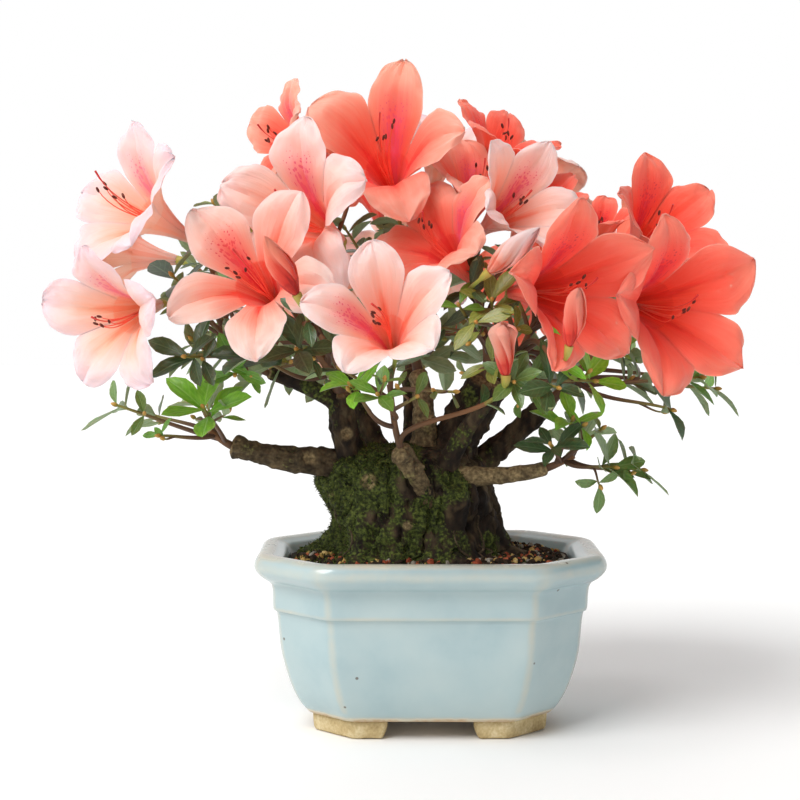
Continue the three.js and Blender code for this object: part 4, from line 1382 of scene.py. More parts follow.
class Bloom(Enum):
    """The kinds of bloom on the plant."""

    PALE_PINK = BloomColours("#f8886a", "#f7ad97", "#f4c1ba", "#eec6cc", "#f6bfb0", "#e4708c")
    PINK = BloomColours("#fa6f55", "#fb9d8a", "#f7b8ac", "#f2c9c5", "#f9b8aa", "#e2486f")
    SALMON = BloomColours("#ee4534", "#fa7e69", "#f8a99a", "#f4c4bb", "#f9a796", "#de3044")
    APRICOT = BloomColours("#e8302a", "#fb5643", "#fc7e69", "#fca390", "#fa725a", "#e84c6c")
    CORAL = BloomColours("#da271c", "#f83e2d", "#fb5947", "#fc7d6a", "#fa6e59", "#c2223a")
    DEEP_CORAL = BloomColours("#b3201a", "#dc2e22", "#f04432", "#fa7a62", "#e84a36", "#7a1218")

    def finishes(self) -> list[Finish]:
        """Returns the finishes of a plain lobe, a marked lobe and the back of both."""
        tint, kind = self.value, self.name.lower()
        front = (tint.throat, tint.middle, tint.body, tint.rim)
        return [
            PetalSkin(f"{kind}_petal", *front),
            PetalSkin(f"{kind}_marked_petal", *front, tint.mark),
            PetalSkin(f"{kind}_petal_back", tint.middle, tint.back, tint.back, tint.rim),
        ]


class Leaf(Enum):
    """The greens that leaves come in, spray by spray."""

    BRIGHT = LeafSkin("bright_young_leaf", "#8acc38", "#67ad26", "#aede6c", 0.34)
    FRESH = LeafSkin("fresh_leaf", "#6fa63a", "#528a2a", "#9cc76a", 0.34)
    MIDDLE = LeafSkin("mature_leaf", "#678842", "#4f6e34", "#8fab68", 0.32)
    # A darker copy of the mature green, taken from leaves seen in shade. Its sprays sit under the
    # flowers and deep in the crown, so this green is painted shade.
    DARK = LeafSkin("dark_leaf_painted_shade", "#415f36", "#304a2a", "#6a8858", 0.3)
    OLIVE = LeafSkin("olive_leaf", "#8b9440", "#717c33", "#b6bb72", 0.36)


LEAF_BACK = LeafSkin("leaf_underside", "#93a878", "#7f9668", "#b6c49a", 0.6)
WOODY_TWIG = StemSkin("woody_twig_bark", "#4a3626", "#6b4a30", "#7d5534")
GREEN_SHOOT = StemSkin("green_shoot_skin", "#4d382b", "#6a4d38", "#84803e", 0.5)
FLOWER_STALK = StemSkin("flower_stalk_skin", "#7d6a36", "#93a046", "#b7a04e", 0.5)
LEAF_BUD = StemSkin("ochre_leaf_bud", "#6b7a2c", "#b08a3c", "#c99a55", 0.5)
FILAMENT = StemSkin("stamen_filament", "#ffb49a", "#fb6f58", "#e8553f", 0.4)
STIGMA = StemSkin("pistil_skin", "#ffc0a6", "#f4604a", "#c93030", 0.35)
ANTHER = GrainedSolid("dusty_anther", "#3a1614", "#5e2620", "#8a4f3a", 1.0, 0.3, 0.1, 0.8)


@dataclass(frozen=True)
class Flower:
    """One open flower: five lobes that overlap by turns round a short funnel, stamens and a pistil.

    Sizes are shares of the reach, from the funnel's mouth to a lobe's tip.
    """

    at: Point
    facing: float
    lift: float
    roll: float
    reach: float
    cup: float
    bloom: Bloom
    breadth: float = 1.0
    blunt: float = 0.58
    bend: tuple[float, ...] = (0.0, 0.0, 0.0, 0.0, 0.0)
    stamen: float = 1.0
    crumple: float = 0.05
    recurve: float = 0.2
    ruffle: float = 0.04
    mouth: float = 0.28
    tube_base: float = 0.075
    tube_length: float = 0.7
    tube_share: float = 0.36
    lobes: int = 5
    rows: tuple[int, int] = (8, 26)
    columns: int = 23
    lobe_length: float = 0.83
    lobe_base: float = 0.26
    lobe_swell: float = 0.155
    overlap: float = 0.035
    groove: float = 0.075
    petal_thickness: float = 0.3
    thread_points: int = 14
    anther_length: float = 2.1
    anther_radius: float = 0.52
    anther_points: int = 5
    thread_radius: Span = (0.3, 0.18)
    thread_sides: int = 6
    stigma_radius: Span = (0.36, 0.42)

    def frame(self) -> tuple[Array, Array, Array]:
        """Returns the flower's axis, the direction of its upper lobe and the side of that."""
        turn, rise, roll = (math.radians(angle) for angle in (self.facing, self.lift, self.roll))
        level = math.cos(rise)
        axis = np.array([math.sin(turn) * level, -math.cos(turn) * level, math.sin(rise)])
        up = unit(np.array([0, 0, 1.0]) - axis * axis[2])
        side = np.cross(up, axis)
        upper = up * math.cos(roll) + side * math.sin(roll)
        return axis, upper, side * math.cos(roll) - up * math.sin(roll)

    def petals(self, dice: Dice) -> Array:
        """The lobes' upper surface, over s, -1 to 1 across a lobe, and q, 0 to 1 from foot to tip.

        In the funnel a lobe is its fifth of a cone. Beyond the mouth its half width widens and
        draws in to a tip, the rounder the smaller the power blunt is. Its height is the bowl of the
        cup, plus a tilt that lays each lobe over the next, a groove on the midrib, the lobe's own
        bend and a backward curl, ruffles that grow towards the rim, and crumples of noise.

        Args:
            dice: the random numbers that make each lobe its own.

        Returns:
            (lobes, rows, columns, 3) places.
        """
        axis, up, side = self.frame()
        tube = np.linspace(0, self.tube_share, self.rows[0], endpoint=False)
        limb = 1 - (1 - self.tube_share) * (1 - np.linspace(0, 1, self.rows[1])) ** 1.6
        q = np.concatenate([tube, limb])[None, :, None]
        s = np.sin(np.linspace(-1, 1, self.columns) * 1.35)[None, None, :] / math.sin(1.35)
        vary = dice.uniform(-1, 1, (10, self.lobes, 1, 1))
        inner = np.clip(q / self.tube_share, 0, 1)
        outer = np.clip((q - self.tube_share) / (1 - self.tube_share), 0, 1)
        cone = self.tube_base + (self.mouth - self.tube_base) * inner**1.6
        sector = s * math.pi / self.lobes
        opened = smooth(outer, 0.0, 0.24)
        tip = np.clip((outer - 0.4) / 0.6, 0, 1)
        rounded = (1 - tip ** (1.9 + 0.3 * vary[5])) ** (self.blunt + 0.06 * vary[4])
        far = self.mouth + (self.lobe_length + 0.05 * vary[2]) * outer
        swell = self.lobe_swell * (1 + 0.22 * vary[0]) * smooth(outer, 0.0, 0.42)
        half = (self.lobe_base + swell) * rounded * self.breadth
        half = np.minimum(half, far * math.tan(math.pi / self.lobes) + self.overlap)
        wavy = 0.05 * np.sin(7.0 * outer + 3.0 * vary[6]) * outer
        half = half * (1 + wavy + 0.1 * vary[7] * s * outer)
        across = cone * np.sin(sector) * (1 - opened) + s * half * opened
        across = across + 0.08 * vary[1] * outer**2 + 0.03 * vary[8] * np.sin(math.pi * outer)
        radial = cone * np.cos(sector) * (1 - opened) + far * opened
        open_share = np.clip((np.hypot(across, radial) - 0.29) / 0.71, 0, None)
        fold = self.groove * np.sin(math.pi * np.abs(s) ** 0.8)
        edge = (
            np.sin(9.5 * outer + 3.0 * vary[6] + 2.2 * s) * s**2 * outer
            + 0.5 * np.sin(23.0 * outer + 3.0 * vary[1] + 4.0 * s) * s**4 * outer
            + np.sin(7.5 * s + 3.0 * vary[7]) * outer**4
            + 0.6 * np.sin(15 * s + 3 * vary[8]) * outer**6
        )
        place = np.stack(np.broadcast_arrays(1.8 * s, 3.2 * outer, 20 + 15 * vary[0]), axis=-1)
        height = (
            self.tube_length * (inner - 1)
            + self.cup * open_share * (1.3 - 0.3 * open_share)
            + 0.012 * s * opened * (1 - outer)
            - np.array(self.bend)[:, None, None] * outer**1.6
            - (self.recurve + 0.08 * vary[3]) * outer**3
            + 0.07 * vary[4] * outer**2
            + fold * opened * (1 - 0.3 * outer) * rounded
            - (0.05 + 0.06 * vary[5]) * (s * rounded) ** 4 * outer
            + 0.08 * vary[9] * s * rounded * outer
            + self.ruffle * (1 + 0.5 * vary[9]) * edge * rounded
            + self.crumple * fractal(place, 31, 3) * opened * smooth(outer, 0.0, 0.5)
        )
        turn = math.tau * np.arange(self.lobes)[:, None, None, None] / self.lobes
        out = up * np.cos(turn) + side * np.sin(turn)
        beside = side * np.cos(turn) - up * np.sin(turn)
        shape = out * radial[..., None] + beside * across[..., None] + axis * height[..., None]
        return np.array(self.at) + self.reach * shape

    def corolla(self, dice: Dice, look: int) -> Patch:
        """Returns the lobes as thin sheets, in three finishes from look on, the upper marked."""
        looks = np.full(self.lobes, look)
        looks[0] = look + 1
        return sheet_patch(self.petals(dice), self.petal_thickness, looks, look + 2, (False, True))

    def stamens(self, dice: Dice) -> Patch:
        """Five stamens and a pistil: threads that leave the throat along the axis and sweep up.

        Args:
            dice: the random numbers.

        Returns:
            The patch of filaments, anthers and pistil, in the looks 0, 1 and 2.
        """
        axis, up, side = self.frame()
        count = self.lobes + 1
        spread = np.append(dice.uniform(-0.2, 0.2, self.lobes), 0.04)[:, None]
        rise = np.append(dice.uniform(-0.12, 0.16, self.lobes), 0.12)[:, None]
        length = self.stamen * np.append(dice.uniform(0.4, 0.66, self.lobes), 0.78)[:, None]
        middle = np.array(self.at)
        start = middle - axis * 0.5 * self.reach + (side * spread + up * rise) * 0.12 * self.reach
        end = middle + self.reach * (axis * length + side * spread + up * rise)
        leave = np.repeat(axis[None], count, axis=0)
        path = bezier(start, leave, end, unit(axis + up * 0.7 + side * spread), self.thread_points)
        radius = np.linspace(*self.thread_radius, self.thread_points) * np.ones((count, 1))
        radius[-1, -2:] = self.stigma_radius
        looks = np.append(np.zeros(self.lobes, int), 2)
        threads = tube_patch(path, radius, self.thread_sides, looks)
        lean = unit(path[:-1, -1] - path[:-1, -2] + dice.normal(0, 0.6, (self.lobes, 3)))
        share = np.linspace(-1, 1, self.anther_points)
        spindle = path[:-1, -1:] + lean[:, None] * share[:, None] * self.anther_length / 2
        girth = self.anther_radius * np.sqrt(1 - 0.75 * share**2) * np.ones((self.lobes, 1))
        return Patch.join([threads, tube_patch(spindle, girth, self.thread_sides, 1)])

    def seat(self) -> tuple[Array, Array]:
        """Returns where the stalk meets the funnel's foot, and the direction there."""
        axis = self.frame()[0]
        return np.array(self.at) - axis * (self.tube_length - 0.02) * self.reach, axis

    def thickness(self) -> float:
        """Returns the radius of the funnel's foot."""
        return self.tube_base * self.reach


@dataclass(frozen=True)
class Bud:
    """A flower about to open: five petals rolled round each other into a pointed spindle.

    A loose bud is on its way from the closed profile to the knob of the loose one. A profile is
    places along the bud and the shares of its fatness there.
    """

    base: Point
    tip: Point
    reach: float
    bloom: Bloom
    fat: float = 0.17
    twist: float = 1.5
    loose: float = 0.0
    closed_profile: tuple[tuple[float, ...], tuple[float, ...]] = (
        (0, 0.05, 0.2, 0.42, 0.62, 0.82, 0.94, 1), (0.02, 0.34, 0.72, 1, 0.95, 0.6, 0.3, 0.06),
    )
    loose_profile: tuple[tuple[float, ...], tuple[float, ...]] = (
        (0, 0.05, 0.3, 0.6, 0.84, 0.95, 1), (0.02, 0.34, 0.55, 0.72, 1.05, 0.8, 0.3),
    )
    petals: int = 5
    petal_thickness: float = 0.25
    rows: int = 30
    columns: int = 13

    def axis(self) -> Array:
        """Returns the bud's direction from base to tip."""
        return unit(np.array(self.tip, float) - np.array(self.base, float))

    def corolla(self, dice: Dice, look: int) -> Patch:
        """The rolled petals, over s across a petal and t from base to tip.

        A petal lies at its own fifth of the turn plus s times its half width plus a twist that
        grows with t. Its radius is the profile's, larger at the outer edge than at the one tucked
        under, and the tips of a loose bud curl.

        Args:
            dice: the random numbers.
            look: place of the bloom's first finish in the piece's list.

        Returns:
            The patch of the petals.
        """
        axis = self.axis()
        side = unit(np.cross(axis, (0.3, 0.9, 0.2)))
        up = np.cross(side, axis)
        t = np.linspace(0, 1, self.rows)[None, :, None]
        s = np.linspace(-1, 1, self.columns)[None, None, :]
        vary = dice.uniform(-1, 1, (4, self.petals, 1, 1))
        fifth = math.tau * np.arange(self.petals)[:, None, None] / self.petals
        turn = fifth + 0.95 * s + self.twist * t + 0.1 * vary[0]
        spindle = np.interp(t, *self.closed_profile)
        spindle = spindle + self.loose * (np.interp(t, *self.loose_profile) - spindle)
        crest = 1 + (0.19 + 0.3 * self.loose * t**2) * s - 0.1 * bump(s, 0.0, 0.2) + 0.05 * vary[1]
        curl = self.loose * t**3 * np.sin(5 * t + 3 * vary[2])
        radius = self.fat * spindle * crest + 0.35 * self.fat * curl
        height = t * (1 + 0.03 * vary[3]) - 0.02 * s**2 * t
        out = side * np.cos(turn)[..., None] + up * np.sin(turn)[..., None]
        shape = out * radius[..., None] + axis * height[..., None]
        points = np.array(self.base) + self.reach * shape
        looks = np.full(self.petals, look)
        looks[dice.integers(self.petals)] += 1
        return sheet_patch(points[:, :, ::-1], self.petal_thickness, looks, look + 2)

    def seat(self) -> tuple[Array, Array]:
        """Returns where the stalk meets the bud, and the direction there."""
        return np.array(self.base) + self.axis() * 0.03 * self.reach, self.axis()

    def thickness(self) -> float:
        """Returns the radius of the bud's foot."""
        return 0.4 * self.fat * self.reach


@dataclass
class Leaves:
    """Leaves gathered from many shoots, a row each: root, direction, face, length and green."""

    grown: list[tuple[Array, Array, Array, float, int]] = field(default_factory=list)
    slim: float = 0.39
    thickness: float = 0.02
    rows: int = 8

    def patch(self, dice: Dice) -> Patch:
        """The blades, over t from stalk to point and s across: pointed ovals folded on the midrib.

        The half width is a sine of t to a power, widest beyond the middle. The blade droops with
        the square of t, lifts its halves from the midrib by the fold, and waves along its edge.

        Args:
            dice: the random numbers that bend each leaf its own way.

        Returns:
            The patch of all leaves, backs in the last look.
        """
        root, along, face, length, look = (np.array(part) for part in zip(*self.grown))
        length = length[:, None, None]
        count = len(root)
        side = unit(np.cross(along, face))
        upper = np.cross(side, along)
        t = np.concatenate([[0, 0.1], np.linspace(0.22, 0.9, self.rows - 3), [1]])[None, :, None]
        s = np.array([-1.0, 0.0, 1.0])[None, None, :]
        droop, fold, wave, bend = dice.uniform(0, 1, (4, count, 1, 1))
        half = 0.5 * self.slim * np.sin(math.pi * np.clip(t, 0, 1) ** 1.42) ** 0.78
        half = np.where(t < 0.05, 0.0, np.maximum(half, 0.022 * (t < 0.95)))
        across = s * half * (0.9 + 0.25 * wave) + 0.07 * (bend - 0.5) * t**2
        height = -(0.02 + 0.3 * droop) * t**2 + (0.12 + 0.5 * fold) * np.abs(s) * half
        height = height + 0.02 * np.sin(9 * t + 7 * wave) * s * t
        blade = along[:, None, None] * t[..., None] + side[:, None, None] * across[..., None]
        blade = blade + upper[:, None, None] * height[..., None]
        points = root[:, None, None] + length[..., None] * blade
        thick = self.thickness * length * np.ones_like(t * s)
        return sheet_patch(points, thick, look, len(Leaf), (True, True))


class Stream:
    """A repeatable stream of numbers from 0 to 1, the one that the part's source draws from."""

    def __init__(self, seed: int) -> None:
        """Starts the stream at a seed."""
        self.state = seed

    def draw(self) -> float:
        """Returns the next number: a counter stepped on, then mixed in 32 bits."""
        word = 0xFFFFFFFF
        self.state = (self.state + 0x6D2B79F5) & word
        mixed = ((self.state ^ self.state >> 15) * (1 | self.state)) & word
        mixed = ((mixed + ((mixed ^ mixed >> 7) * (61 | mixed))) & word) ^ mixed
        return (mixed ^ mixed >> 14) / 4294967296


@dataclass(frozen=True)
class Shoot:
    """One leafy shoot: where its tip is, the green of its spray, how many leaves and how large."""

    tip: Point
    green: Leaf
    leaves: int = 6
    scale: float = 1.0


def sprays(*rows: tuple) -> tuple[Shoot, ...]:
    """Returns shoots, from rows of the tip's x, y and z, the green, the leaves and their size."""
    return tuple(Shoot(row[:3], *row[3:]) for row in rows)


@dataclass
class Mass:
    """One mass of the crown: a stem from a bough's tip, with flowers, buds and leafy shoots.

    As it is built, it gathers the patches of its twigs, and its leaves.
    """

    name: str
    bough: str
    hub: Point
    seed: int
    slot: str
    flowers: tuple[Flower, ...]
    buds: tuple[Bud, ...]
    shoots: tuple[Shoot, ...]
    leaf_length: Span = (14.4, 20.7)
    leaf_lean: Span = (48.0, 78.0)
    leaf_spacing: float = 1.7
    stalk_leaves: int = 2
    stalk_length: float = 15.0
    side_length: Span = (6.0, 11.0)
    side_leaf: float = 0.66
    flower_branching: Span = (0.6, 1.0)
    shoot_branching: Span = (0.3, 0.9)
    stem_share: float = 0.6
    stem_limit: float = 3.6
    twig_radius: float = 1.1
    tip_radius: float = 0.5
    stem_points: int = 40
    stalk_points: int = 30
    shoot_points: int = 26
    side_points: int = 12
    stem_sides: int = 10
    stalk_sides: int = 9
    shoot_sides: int = 8
    side_sides: int = 6
    bud_sides: int = 7
    stalk_radius: float = 0.75
    side_radius: Span = (0.55, 0.36)
    calyx: Point = (0.8, 1.0, 1.12)
    calyx_radius: float = 0.9
    twigs: list[Patch] = field(default_factory=list)
    leaves: Leaves = field(default_factory=Leaves)

    def __post_init__(self) -> None:
        """Starts the mass's own random numbers."""
        self.dice = np.random.default_rng(self.seed)

    def stem(self, bough: Bough) -> Array:
        """Returns the stem's path, from inside the bough's stub to the hub."""
        tip, onward = bough.tip()
        hub = np.array(self.hub, float)
        root = tip - onward * bough.radius[1] * 0.8
        return bezier(root, onward, hub, unit(hub - tip), self.stem_points)

    def branches(self, stem: Array, count: int, span: Span) -> tuple[Array, Array]:
        """Returns the points where twigs leave the stem, and the stem's direction there."""
        share = span[0] + (span[1] - span[0]) * (np.arange(count) + 1) / max(count, 1)
        row = np.rint(share * (len(stem) - 1)).astype(int)
        return stem[row], unit(np.gradient(stem, axis=0))[row]

    def build(self, bough: Bough) -> None:
        """Builds the mass and dresses it, each kind of thing as a piece of its own.

        Args:
            bough: the limb whose tip the mass grows from.
        """
        stem = self.stem(bough)
        root = min(self.stem_share * bough.radius[1], self.stem_limit)
        thick = np.linspace(root, self.twig_radius, len(stem))
        self.twigs.append(tube_patch(stem, thick, self.stem_sides, 0))
        self.hang_flowers(stem)
        self.grow_shoots(stem)
        stems = [WOODY_TWIG, GREEN_SHOOT, FLOWER_STALK, LEAF_BUD]
        self.dress("twigs", Patch.join(self.twigs), stems)
        greens = [leaf.value for leaf in Leaf] + [LEAF_BACK]
        self.dress("leaves", self.leaves.patch(self.dice), greens)
        self.open_blooms("petals", self.flowers)
        self.open_blooms("buds", self.buds)
        if self.flowers:
            threads = Patch.join([flower.stamens(self.dice) for flower in self.flowers])
            self.dress("stamens", threads, [FILAMENT, ANTHER, STIGMA])

    def dress(self, kind: str, patch: Patch, finishes: Sequence[Finish]) -> None:
        """Makes one kind of thing in the mass a piece of its own."""
        make_piece(f"{self.name}_{kind}", patch, finishes, [self.name], formed=True)

    def open_blooms(self, kind: str, blooms: Sequence[Flower | Bud]) -> None:
        """Builds the petals of the flowers, or of the buds, with only the finishes they use."""
        if not blooms:
            return
        tints = list(dict.fromkeys(bloom.bloom for bloom in blooms))
        lobes = [bloom.corolla(self.dice, 3 * tints.index(bloom.bloom)) for bloom in blooms]
        finishes = [finish for tint in tints for finish in tint.finishes()]
        self.dress(kind, Patch.join(lobes), finishes)

    def hang_flowers(self, stem: Array) -> None:
        """Carries a twig from the stem towards each flower and bud, then a stalk to its calyx.

        Args:
            stem: the stem's path.
        """
        ends = [*self.flowers, *self.buds]
        points, along = self.branches(stem, len(ends), self.flower_branching)
        for point, leave, bloom in zip(points, along, ends):
            seat, axis = bloom.seat()
            path = bezier(point, leave, seat, axis, self.stalk_points)
            radius = np.linspace(self.twig_radius, self.stalk_radius, self.stalk_points)
            radius[-3:] = np.array(self.calyx) * max(bloom.thickness(), self.calyx_radius)
            ahead = np.linalg.norm(path - seat, axis=1)
            green = int(np.clip(np.argmax(ahead < self.stalk_length), 1, 24))
            woody = path[: green + 1]
            self.twigs.append(tube_patch(woody, radius[: green + 1], self.stalk_sides, 0))
            self.twigs.append(tube_patch(path[green:], radius[green:] * 0.98, self.stalk_sides, 2))
            shoot = self.shoots[int(self.dice.integers(len(self.shoots)))]
            look = list(Leaf).index(shoot.green)
            stream = Stream(int(self.dice.integers(1 << 30)))
            self.whorl(woody, look, self.side_leaf, self.stalk_leaves, stream)

    def grow_shoots(self, stem: Array) -> None:
        """Grows each shoot to its tip by the source's rule, then finer side shoots near that tip.

        Args:
            stem: the stem's path.
        """
        stream = Stream(self.seed)
        points, _ = self.branches(stem, len(self.shoots), self.shoot_branching)
        for point, shoot in zip(points, self.shoots):
            tip = np.array(shoot.tip, float)
            onward = unit(tip - point)
            sway = np.array([stream.draw(), stream.draw(), stream.draw()]) - 0.5
            path = bezier(point, unit(onward + sway), tip, onward, self.shoot_points)
            radius = np.linspace(self.twig_radius, self.tip_radius, self.shoot_points)
            self.twigs.append(tube_patch(path, radius, self.shoot_sides, 1))
            look = list(Leaf).index(shoot.green)
            self.whorl(path, look, shoot.scale, shoot.leaves, stream)
            self.twigs.append(self.leaf_bud(path))
            row = int(self.shoot_points * self.dice.uniform(0.5, 0.9))
            out = unit(onward + unit(self.dice.normal(size=3)) * 1.1 + (0, 0, 0.25))
            end = path[row] + out * self.dice.uniform(*self.side_length)
            leave, arrive = unit(onward + out), unit(out + (0, 0, 0.4))
            finer = bezier(path[row], leave, end, arrive, self.side_points)
            radius = np.linspace(*self.side_radius, self.side_points)
            self.twigs.append(tube_patch(finer, radius, self.side_sides, 1))
            scale, count = self.side_leaf * shoot.scale, max(shoot.leaves // 2, 1)
            self.whorl(finer, look, scale, count, Stream(int(self.dice.integers(1 << 30))))
            self.twigs.append(self.leaf_bud(finer))

    def leaf_bud(self, path: Array) -> Patch:
        """Returns the small ochre bud at a shoot's tip: a spindle along its last direction."""
        onward = unit(path[-1] - path[-2])
        share = np.linspace(0, 1, 7)
        spindle = path[-1] - onward * 0.5 + onward * 3.0 * share[:, None]
        girth = 0.12 + 0.78 * np.sin(math.pi * (0.12 + 0.86 * share)) ** 0.8
        return tube_patch(spindle, girth, self.bud_sides, 3)

    def whorl(self, path: Array, look: int, scale: float, count: int, stream: Stream) -> None:
        """Sets leaves close together up the end of a shoot, each turned on by the golden angle.

        Args:
            path: the shoot's path.
            look: the green of this spray.
            scale: size of the leaves against the source's.
            count: how many leaves.
            stream: the numbers for the start, the leans and the lengths.
        """
        start = stream.draw() * 2 * math.pi
        lean_low, lean_high = self.leaf_lean
        short, long = self.leaf_length
        reach = np.linalg.norm(np.diff(path, axis=0), axis=1).sum()
        tangents = unit(np.gradient(path, axis=0))
        for k in range(count):
            share = max(1 - (k + 0.5) * self.leaf_spacing * scale / reach, 0.2)
            row = int(round(share * (len(path) - 1)))
            along = unit(tangents[row] + (0, 0, 0.5))
            across = unit(np.cross(along[[2, 0, 1]], along))
            turn = start + k * GOLDEN_TURN
            lean = math.radians(lean_low + (lean_high - lean_low) * stream.draw())
            out = across * math.cos(turn) + np.cross(along, across) * math.sin(turn)
            blade = along * math.cos(lean) + out * math.sin(lean)
            face = unit(along - blade * (along @ blade))
            length = short + (long - short) * stream.draw()
            self.leaves.grown.append((path[row], blade, face, length * scale, look))


BRIGHT, FRESH, MIDDLE, DARK, OLIVE = Leaf
PALE_PINK, PINK, SALMON, APRICOT, CORAL, DEEP_CORAL = Bloom
